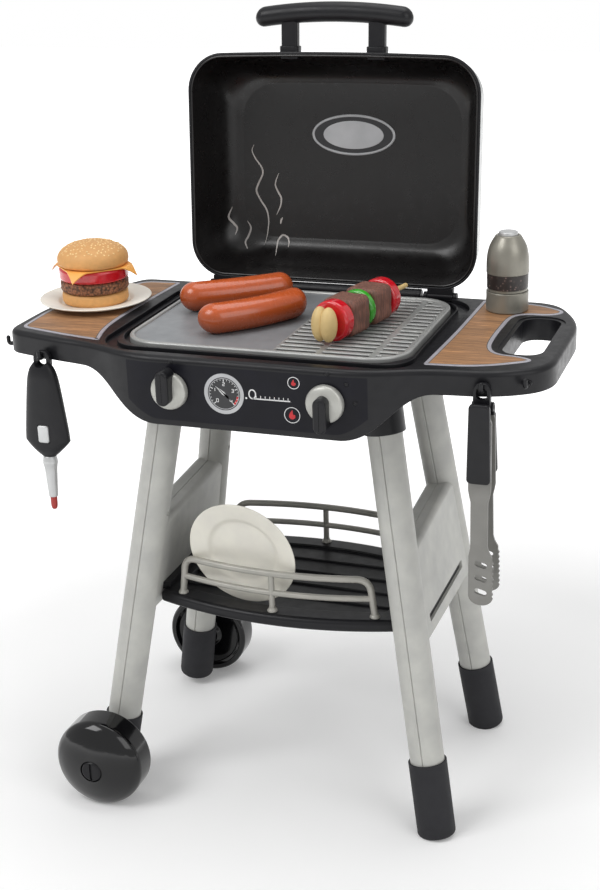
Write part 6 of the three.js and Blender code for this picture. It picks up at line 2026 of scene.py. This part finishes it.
@dataclass
class Tongs:
    """Hanging tongs: two slotted blades with teeth, black grips, a loop and a pin."""

    outline: Loop
    x: float = 207.0
    spread: float = 4.2
    arm: float = 2.6
    pivot: float = 431.0
    end: float = 250.0
    hook_reach: float = 6.0
    blade_left: float = 9.0
    blade_right: float = 13.0
    tooth: float = 1.3
    teeth_length: float = 34.0
    slot_half: float = 5.6
    slot_wide: float = 2.6
    slot_aside: float = 2.0
    slot_pitch: float = 13.0
    slot_lean: float = 15.0
    grip_half: float = 10.5
    grip_end: float = 366.0
    grip_taper: float = 0.143

    @property
    def offset(self) -> Matrix:
        """The move from the drawing to the hook."""
        return shifted(self.x, crossing(self.outline, self.x) - self.hook_reach, 0)

    def blade(self, near: float, far: float) -> bpy.types.Mesh:
        """Gives a blade between two depths, its right side toothed, with three slots."""
        left, right = self.blade_left, self.blade_right
        low, middle, half = self.end + left, (right - left) / 2, (right + left) / 2
        turns = [k * math.pi / 16 for k in range(16)]
        end = [(middle - half * math.cos(a), low - left * math.sin(a)) for a in turns]
        teeth = [(right - (0 if i % 2 else self.tooth), low + self.teeth_length * i / 14) for i in range(15)]
        top = [(-7.5, self.pivot), (-7.5, 425), (-9.8, 420), (-9.9, 358), (-9, 353), (-7.6, 347), (-7.5, 304)]
        neck = [(11.8, 296.5), (8.8, 302), (7.6, 307), *[(-x, z) for x, z in top[::-1][1:]]]
        outline = [*top, (-8.2, 300.5), (-left, 296), *end, *teeth, *neck]
        form = Shape().pad(outline, -far, -near, 0.4, 0.4, 0, 2)
        cuts = []
        for i in range(3):
            long, wide = self.slot_half, self.slot_wide
            slot = plank(rounded(-long, long, -wide, wide, wide - 0.1, 8), near - 3, far + 3)
            at = shifted(self.slot_aside, 0, self.end + (i + 1) * self.slot_pitch)
            cuts.append(slot.moved(at @ spun(self.slot_lean, "Y")))
        return carved(form.moved(Axis.Y.value).mesh("blade"), cuts)

    def grip(self, near: float, far: float, top: float) -> Shape:
        """Gives a black grip plate, a little narrower at its top."""
        low, taper = self.grip_end, self.grip_taper
        plate = plank(rounded(-self.grip_half, self.grip_half, low, top, 4, 10), near, far, 2.0)
        return plate.bowed(lambda p: Vector((p.x * (1 - taper * (p.z - low) / (top - low)), p.y, p.z)))

    def moved_mesh(self, mesh: bpy.types.Mesh, place: Matrix) -> bpy.types.Mesh:
        """Moves a finished mesh by a matrix in the frame of the drawing."""
        to_scene = Matrix.Translation(STAND * MM) @ Matrix.Diagonal((MM, MM, MM, 1))
        mesh.transform(to_scene @ place @ to_scene.inverted())
        return mesh

    def build(self) -> None:
        """Builds both arms and grips."""
        near = -self.spread - self.arm
        knuckle = rod(4, (-5, self.spread, self.pivot), (5, self.spread, self.pivot), 32, 0.4)
        knuckle.join(block(-5, 5, near, self.spread, self.pivot - 4, self.pivot + 4, 0.5))
        loop = plank(rounded(-7.5, 7.5, self.pivot - 4, 452.6, 6.6, 10), -3, 3, 1.0)
        hole = plank(rounded(-4.8, 4.8, 438.4, 449.4, 4.2, 10), -20, 20)
        front = united("front_arm", (self.blade(near, -self.spread), 0), (knuckle.mesh("knuckle"), 1),
                       (carved(loop.mesh("loop"), [hole]), 1))
        placed("front_tong_arm", self.moved_mesh(front, self.offset), "tongs", [Skin.TOOL, Skin.BLACK],
               ["tongs_arm_front"], 40)
        grip = self.grip(near - GAP - 6, near - GAP, 437)
        placed(
            "front_tong_grip", grip.moved(self.offset), "tongs", [Skin.BLACK], ["tongs_grip_front"],
            40
        )
        swing = self.offset @ shifted(0, self.spread, self.pivot) @ spun(5, "X") @ shifted(0, 0, -self.pivot)
        ears = Shape()
        for s in (-1, 1):
            ears.join(rod(4, (s * 5.3, 0, self.pivot), (s * 9.3, 0, self.pivot), 32, 0.4))
            x0, x1 = sorted((s * 5.3, s * 9.3))
            ears.join(block(x0, x1, 0, 4, self.pivot - 8, self.pivot, 0.4))
        ears.join(block(-9.3, 9.3, 1.4, 4.0, self.pivot - 8, self.pivot - 4.3, 0.4))
        ears.join(rod(2, (-9.3, 0, self.pivot), (9.3, 0, self.pivot), 24))
        rear = united("rear_arm", (self.blade(1.4, 4.0), 0), (ears.mesh("ears"), 1))
        placed("rear_tong_arm", self.moved_mesh(rear, swing), "tongs_rear", [Skin.TOOL, Skin.BLACK],
               ["tongs_arm_rear"], 40)
        placed("rear_tong_grip", self.grip(4.3, 10.3, 424).moved(swing), "tongs_rear", [Skin.BLACK],
               ["tongs_grip_rear"], 40)


# ---------------------------------------------------------------- printed faces

class Print:
    """Thin printed shapes laid just proud of the panel."""

    def __init__(self, outline: Loop) -> None:
        """Takes the outline of the table, whose front the print follows."""
        self.outline = outline

    def on_panel(self, shape: Shape, lift: float) -> Shape:
        """Lays a shape drawn in X and Y onto the front panel, its Y upward."""
        def lay(p: Vector) -> Vector:
            """Lays a drawn point on the front."""
            return Vector((p.x, crossing(self.outline, p.x) - lift - p.z, p.y))
        return shape.bowed(lay)

    def ring_face(self, outer: Loop, inner: Loop, slot: int = 0) -> Shape:
        """Gives a thin flat ring between two outlines of as many points."""
        return Shape().loft(
            [ring(outer, -0.05), ring(outer, 0.05), ring(inner, 0.05), ring(inner, -0.05)], slot, False, False
        )

    def disc(self, outline: Loop, slot: int = 0) -> Shape:
        """Gives a thin flat face."""
        return Shape().loft([ring(outline, -0.05), ring(outline, 0.05)], slot, False, True)

    def bar(self, start: Pair, end: Pair, width: float, slot: int = 0) -> Shape:
        """Gives a thin straight line."""
        a, b = Vector(start), Vector(end)
        side = (b - a).normalized().orthogonal() * width / 2
        rows = [tuple(a - side), tuple(b - side), tuple(b + side), tuple(a + side)]
        area = sum(x0 * y1 - x1 * y0 for (x0, y0), (x1, y1) in zip(rows, [*rows[1:], rows[0]]))
        return self.disc(rows if area > 0 else rows[::-1], slot)


DIGITS = {
    "0": ((0, 0, 1, 0), (1, 0, 1, 2), (1, 2, 0, 2), (0, 2, 0, 0)),
    "1": ((0.5, 0, 0.5, 2),),
    "2": ((0, 2, 1, 2), (1, 2, 1, 1), (1, 1, 0, 1), (0, 1, 0, 0), (0, 0, 1, 0)),
    "3": ((0, 2, 1, 2), (1, 2, 1, 0), (1, 0, 0, 0), (0.2, 1, 1, 1)),
    "4": ((0, 2, 0, 1), (0, 1, 1, 1), (1, 2, 1, 0)),
}


@dataclass
class Gauge:
    """The printed heat gauge on the panel: pale ring, dark face, ticks, numbers, red zone and needle."""

    outline: Loop
    x: float = -18.0
    z: float = 430.5
    radius: float = 18.6

    def build(self) -> None:
        """Builds the gauge's layers."""
        pen = Print(self.outline)
        at = self.at

        def arc(r: float, first: float, last: float, steps: int = 40) -> Loop:
            """Gives an arc about the gauge's middle."""
            return [at(r, first + (last - first) * k / steps) for k in range(steps + 1)]

        bezel = pen.ring_face(
            [at(self.radius, 360 * k / 96) for k in range(96)],
            [at(self.radius - 3.4, 360 * k / 96) for k in range(96)]
        )
        inner = pen.ring_face(
            [at(self.radius - 4.3, 360 * k / 96) for k in range(96)],
            [at(self.radius - 4.8, 360 * k / 96) for k in range(96)]
        )
        face = pen.disc([at(self.radius - 3.2, 360 * k / 96) for k in range(96)])
        placed("gauge_face", pen.on_panel(face, 0.06), "frame", [Skin.DARK], (), 30)
        placed("gauge_rings", pen.on_panel(bezel.join(inner), 0.14), "frame", [Skin.SILVER], (), 30)
        marks = Shape()
        for k in range(21):
            angle = 225 - 13.5 * k
            long = k % 5 == 0
            marks.join(pen.bar(
                at(self.radius - 5.2, angle), at(self.radius - (7.4 if long else 6.3), angle),
                0.7 if long else 0.4
            ))
        for k, digit in enumerate("01234"):
            angle = 225 - 67.5 * k
            x, z = at(self.radius - 9.6, angle)
            for x0, z0, x1, z1 in DIGITS[digit]:
                marks.join(pen.bar(
                    (x + (x0 - 0.5) * 1.9, z + (z0 - 1) * 1.4), (x + (x1 - 0.5) * 1.9, z + (z1 - 1) * 1.4),
                    0.5
                ))
        needle = [at(10.5, 140), at(1.6, 230), at(5.2, -25), at(6.2, -40), at(5.2, -55), at(1.6, 50)]
        marks.join(pen.disc(softened([(x, z, 0.4 if i == 0 else 1.6) for i, (x, z) in enumerate(needle)], 5)))
        placed("gauge_marks", pen.on_panel(marks, 0.2), "frame", [Skin.WHITE], (), 30)
        zone = [*arc(self.radius - 5.0, -8, -45), *arc(self.radius - 6.6, -45, -8)]
        placed(
            "gauge_red_zone", pen.on_panel(pen.disc(zone[::-1]), 0.18), "frame", [Skin.RED], (), 30
        )

    def at(self, r: float, degrees: float) -> Pair:
        """Gives a point on the gauge by radius and angle."""
        angle = math.radians(degrees)
        return (self.x + r * math.cos(angle), self.z + r * math.sin(angle))


@dataclass
class HeatScale:
    """The printed slider between the gauge and the right knob, with a small and a large flame ring."""

    outline: Loop

    def build(self) -> None:
        """Builds the slider's line, ticks, rings and flames."""
        pen = Print(self.outline)
        lines = pen.bar((8.5, 428.4), (43.3, 428.6), 1.1)
        for k in range(8):
            x = 12 + 4.2 * k
            lines.join(pen.bar((x, 428.4), (x, 431.4), 0.6))

        def oval(x: float, z: float, a: float, b: float) -> Loop:
            """Gives an oval about a point."""
            turns = [2 * math.pi * k / 48 for k in range(48)]
            return [(x + a * math.cos(t), z + b * math.sin(t)) for t in turns]

        lines.join(pen.ring_face(oval(8.5, 432.4, 3.6, 4.6), oval(8.5, 432.4, 2.5, 3.4)))
        lines.join(pen.disc(oval(2.8, 428.4, 0.9, 0.9)))
        for x, z, r in ((46.8, 445.7, 5.5), (44.7, 416.3, 7.3)):
            lines.join(pen.ring_face(oval(x, z, r, r), oval(x, z, r - 0.6, r - 0.6)))
        placed("heat_scale", pen.on_panel(lines, 0.12), "frame", [Skin.WHITE], (), 30)
        flames = Shape()
        for x, z, r in ((46.8, 445.7, 2.9), (44.7, 416.3, 4.2)):
            rows = [(0, -1, 0.5), (0.75, -0.55, 0.5), (0.6, 0.25, 0.4), (0.25, 0.0, 0.2), (0.05, 1.15, 0.1),
                    (-0.65, 0.2, 0.5), (-0.75, -0.55, 0.5)]
            flames.join(pen.disc(softened([(x + a * r, z + b * r, c * r) for a, b, c in rows], 5)))
        placed("heat_flames", pen.on_panel(flames, 0.12), "frame", [Skin.RED], (), 30)


@dataclass
class PanelPrint:
    """The dark printed field of the panel."""

    outline: Loop

    def build(self) -> None:
        """Builds the field."""
        pen = Print(self.outline)
        count = 60
        across = [-112 + 224 * k / count for k in range(count + 1)]
        top = [(x, 454.2) for x in across]
        bottom = [(x, 401.5 + (max(abs(x) / 112 - 0.74, 0) / 0.26) ** 1.6 * 16) for x in across]
        mesh = Shape()
        for corners in zip(bottom, bottom[1:], top[1:], top):
            mesh.add([Vector((x, z, 0)) for x, z in corners], [(0, 1, 2, 3)])
        placed("panel_field", pen.on_panel(mesh, 0.05), "frame", [Skin.PANEL], (), 30)


# ---------------------------------------------------------------- studio

@dataclass
class Studio:
    """Camera, lamps, floor and the white surroundings."""

    place: tuple[float, float, float] = (0.4789, -1.3129, 0.8609)
    yaw: float = 19.89
    pitch: float = 20.76
    roll: float = -1.85
    lens: float = 62.02
    lamps: tuple[tuple[str, tuple[float, float, float], float, float], ...] = (
        (
            "key", (-1.3, -1.5, 2.3), 30.0, 1.3
        ), ("fill", (1.9, -1.1, 1.6), 14.0, 1.5), ("top", (0.1, 0.4, 2.6), 20.0, 1.6),
    )

    def camera(self) -> None:
        """Sets the camera at the photograph's angle."""
        yaw, pitch, roll = (math.radians(v) for v in (self.yaw, self.pitch, self.roll))
        ahead = Vector((-math.sin(yaw) * math.cos(pitch), math.cos(yaw) * math.cos(pitch), -math.sin(pitch)))
        right = Vector((math.cos(yaw), math.sin(yaw), 0))
        up = right.cross(ahead)
        turned_right = right * math.cos(roll) + up * math.sin(roll)
        turned_up = up * math.cos(roll) - right * math.sin(roll)
        data = bpy.data.cameras.new("view")
        data.lens, data.sensor_width = self.lens, 36.0
        camera = bpy.data.objects.new("view", data)
        bpy.context.scene.collection.objects.link(camera)
        basis = Matrix((turned_right, turned_up, -ahead)).transposed().to_4x4()
        camera.matrix_world = Matrix.Translation(self.place) @ basis
        bpy.context.scene.camera = camera

    def lights(self) -> None:
        """Sets the soft lamps."""
        target = Vector((0, 0, 0.35))
        for name, place, power, size in self.lamps:
            data = bpy.data.lights.new(name, "AREA")
            data.energy, data.size, data.shape = power, size, "SQUARE"
            lamp = bpy.data.objects.new(name, data)
            lamp.location = place
            lamp.rotation_euler = (target - Vector(place)).to_track_quat("-Z", "Y").to_euler()
            bpy.context.scene.collection.objects.link(lamp)

    def floor(self) -> None:
        """Lays the pale floor."""
        mesh = bpy.data.meshes.new("floor")
        mesh.from_pydata([(-6, -6, 0), (6, -6, 0), (6, 6, 0), (-6, 6, 0)], [], [(0, 1, 2, 3)])
        net = Net("floor_paper")
        tone = net.mixed(net.between(net.noise(300), 0, 1), "f6f6f6", "fafafa")
        net.link(tone, "Base Color")
        net.link(net.between(net.noise(40), 0.75, 0.9), "Roughness")
        paths = net.node("ShaderNodeLightPath")
        seen = net.node(
            "ShaderNodeMath", {0: paths.outputs["Is Camera Ray"], 1: paths.outputs["Is Glossy Ray"]},
            operation="MAXIMUM"
        )
        seen = net.node(
            "ShaderNodeMath", {0: seen.outputs[0], 1: paths.outputs["Is Transmission Ray"]},
            operation="MAXIMUM"
        )
        away = net.node("ShaderNodeVectorMath", {0: net.place}, operation="LENGTH").outputs["Value"]
        far = net.node(
            "ShaderNodeMapRange", {"Value": away}, From_Min=0.45, From_Max=1.5, To_Min=0.12, To_Max=1.0
        )
        glow = net.node("ShaderNodeMath", {0: seen.outputs[0], 1: far.outputs[0]}, operation="MULTIPLY")
        net.shader.inputs["Emission Color"].default_value = (1, 1, 1, 1)
        net.link(glow.outputs[0], "Emission Strength")
        mesh.materials.append(net.material)
        floor = bpy.data.objects.new("floor", mesh)
        bpy.context.scene.collection.objects.link(floor)

    def surroundings(self) -> None:
        """Makes the world plain, and white where the camera or a reflection meets it."""
        world = bpy.data.worlds.new("studio")
        world.use_nodes = True
        tree = world.node_tree
        back = tree.nodes["Background"]
        paths = tree.nodes.new("ShaderNodeLightPath")
        first = tree.nodes.new("ShaderNodeMath")
        first.operation = "MAXIMUM"
        tree.links.new(paths.outputs["Is Camera Ray"], first.inputs[0])
        tree.links.new(paths.outputs["Is Transmission Ray"], first.inputs[1])
        mix = tree.nodes.new("ShaderNodeMapRange")
        tree.links.new(first.outputs[0], mix.inputs["Value"])
        mix.inputs["To Min"].default_value = 0.42
        mix.inputs["To Max"].default_value = 1.0
        gloss = tree.nodes.new("ShaderNodeMapRange")
        tree.links.new(paths.outputs["Is Glossy Ray"], gloss.inputs["Value"])
        gloss.inputs["To Min"].default_value = 0.0
        gloss.inputs["To Max"].default_value = 0.25
        total = tree.nodes.new("ShaderNodeMath")
        total.operation, total.use_clamp = "ADD", True
        tree.links.new(mix.outputs[0], total.inputs[0])
        tree.links.new(gloss.outputs[0], total.inputs[1])
        tree.links.new(total.outputs[0], back.inputs["Strength"])
        back.inputs["Color"].default_value = (1, 1, 1, 1)
        bpy.context.scene.world = world

    def build(self) -> None:
        """Builds the whole studio."""
        self.camera()
        self.lights()
        self.floor()
        self.surroundings()
        bpy.context.scene.view_settings.view_transform = "Standard"


# ---------------------------------------------------------------- the whole toy

def main() -> None:
    """Builds every sub-assembly in order."""
    noise.seed_set(NOISE_SEED)
    logging.basicConfig(level=logging.INFO, format="%(name)s: %(message)s")
    Studio().build()
    frames = SideFrames()
    table = Table(frames)
    works: list[tuple[str, Callable[[], None]]] = [
        ("side frames", frames.build), ("sleeves", Sleeves(frames).build), ("wheels", Wheels().build),
        ("table", table.build), ("wood sheets", Inlays().build), ("lid", Lid().build),
        (
            "cooking plate", CookingPlate().build
        ), ("knobs", Knobs().build), ("hooks", Hooks(table.outline).build),
        ("lower shelf", LowerShelf().build), ("plates", Dishes().build), ("burger", Burger().build),
        ("sausages", Sausages().build), ("kebab", Kebab().build), ("mill", Mill().build),
        ("lighter", Lighter(table.outline).build), ("tongs", Tongs(table.outline).build),
        ("panel", PanelPrint(table.outline).build), ("gauge", Gauge(table.outline).build),
        ("heat scale", HeatScale(table.outline).build),
    ]
    for name, build in works:
        build()
        log.info("built %s", name)


if __name__ == "__main__":
    main()
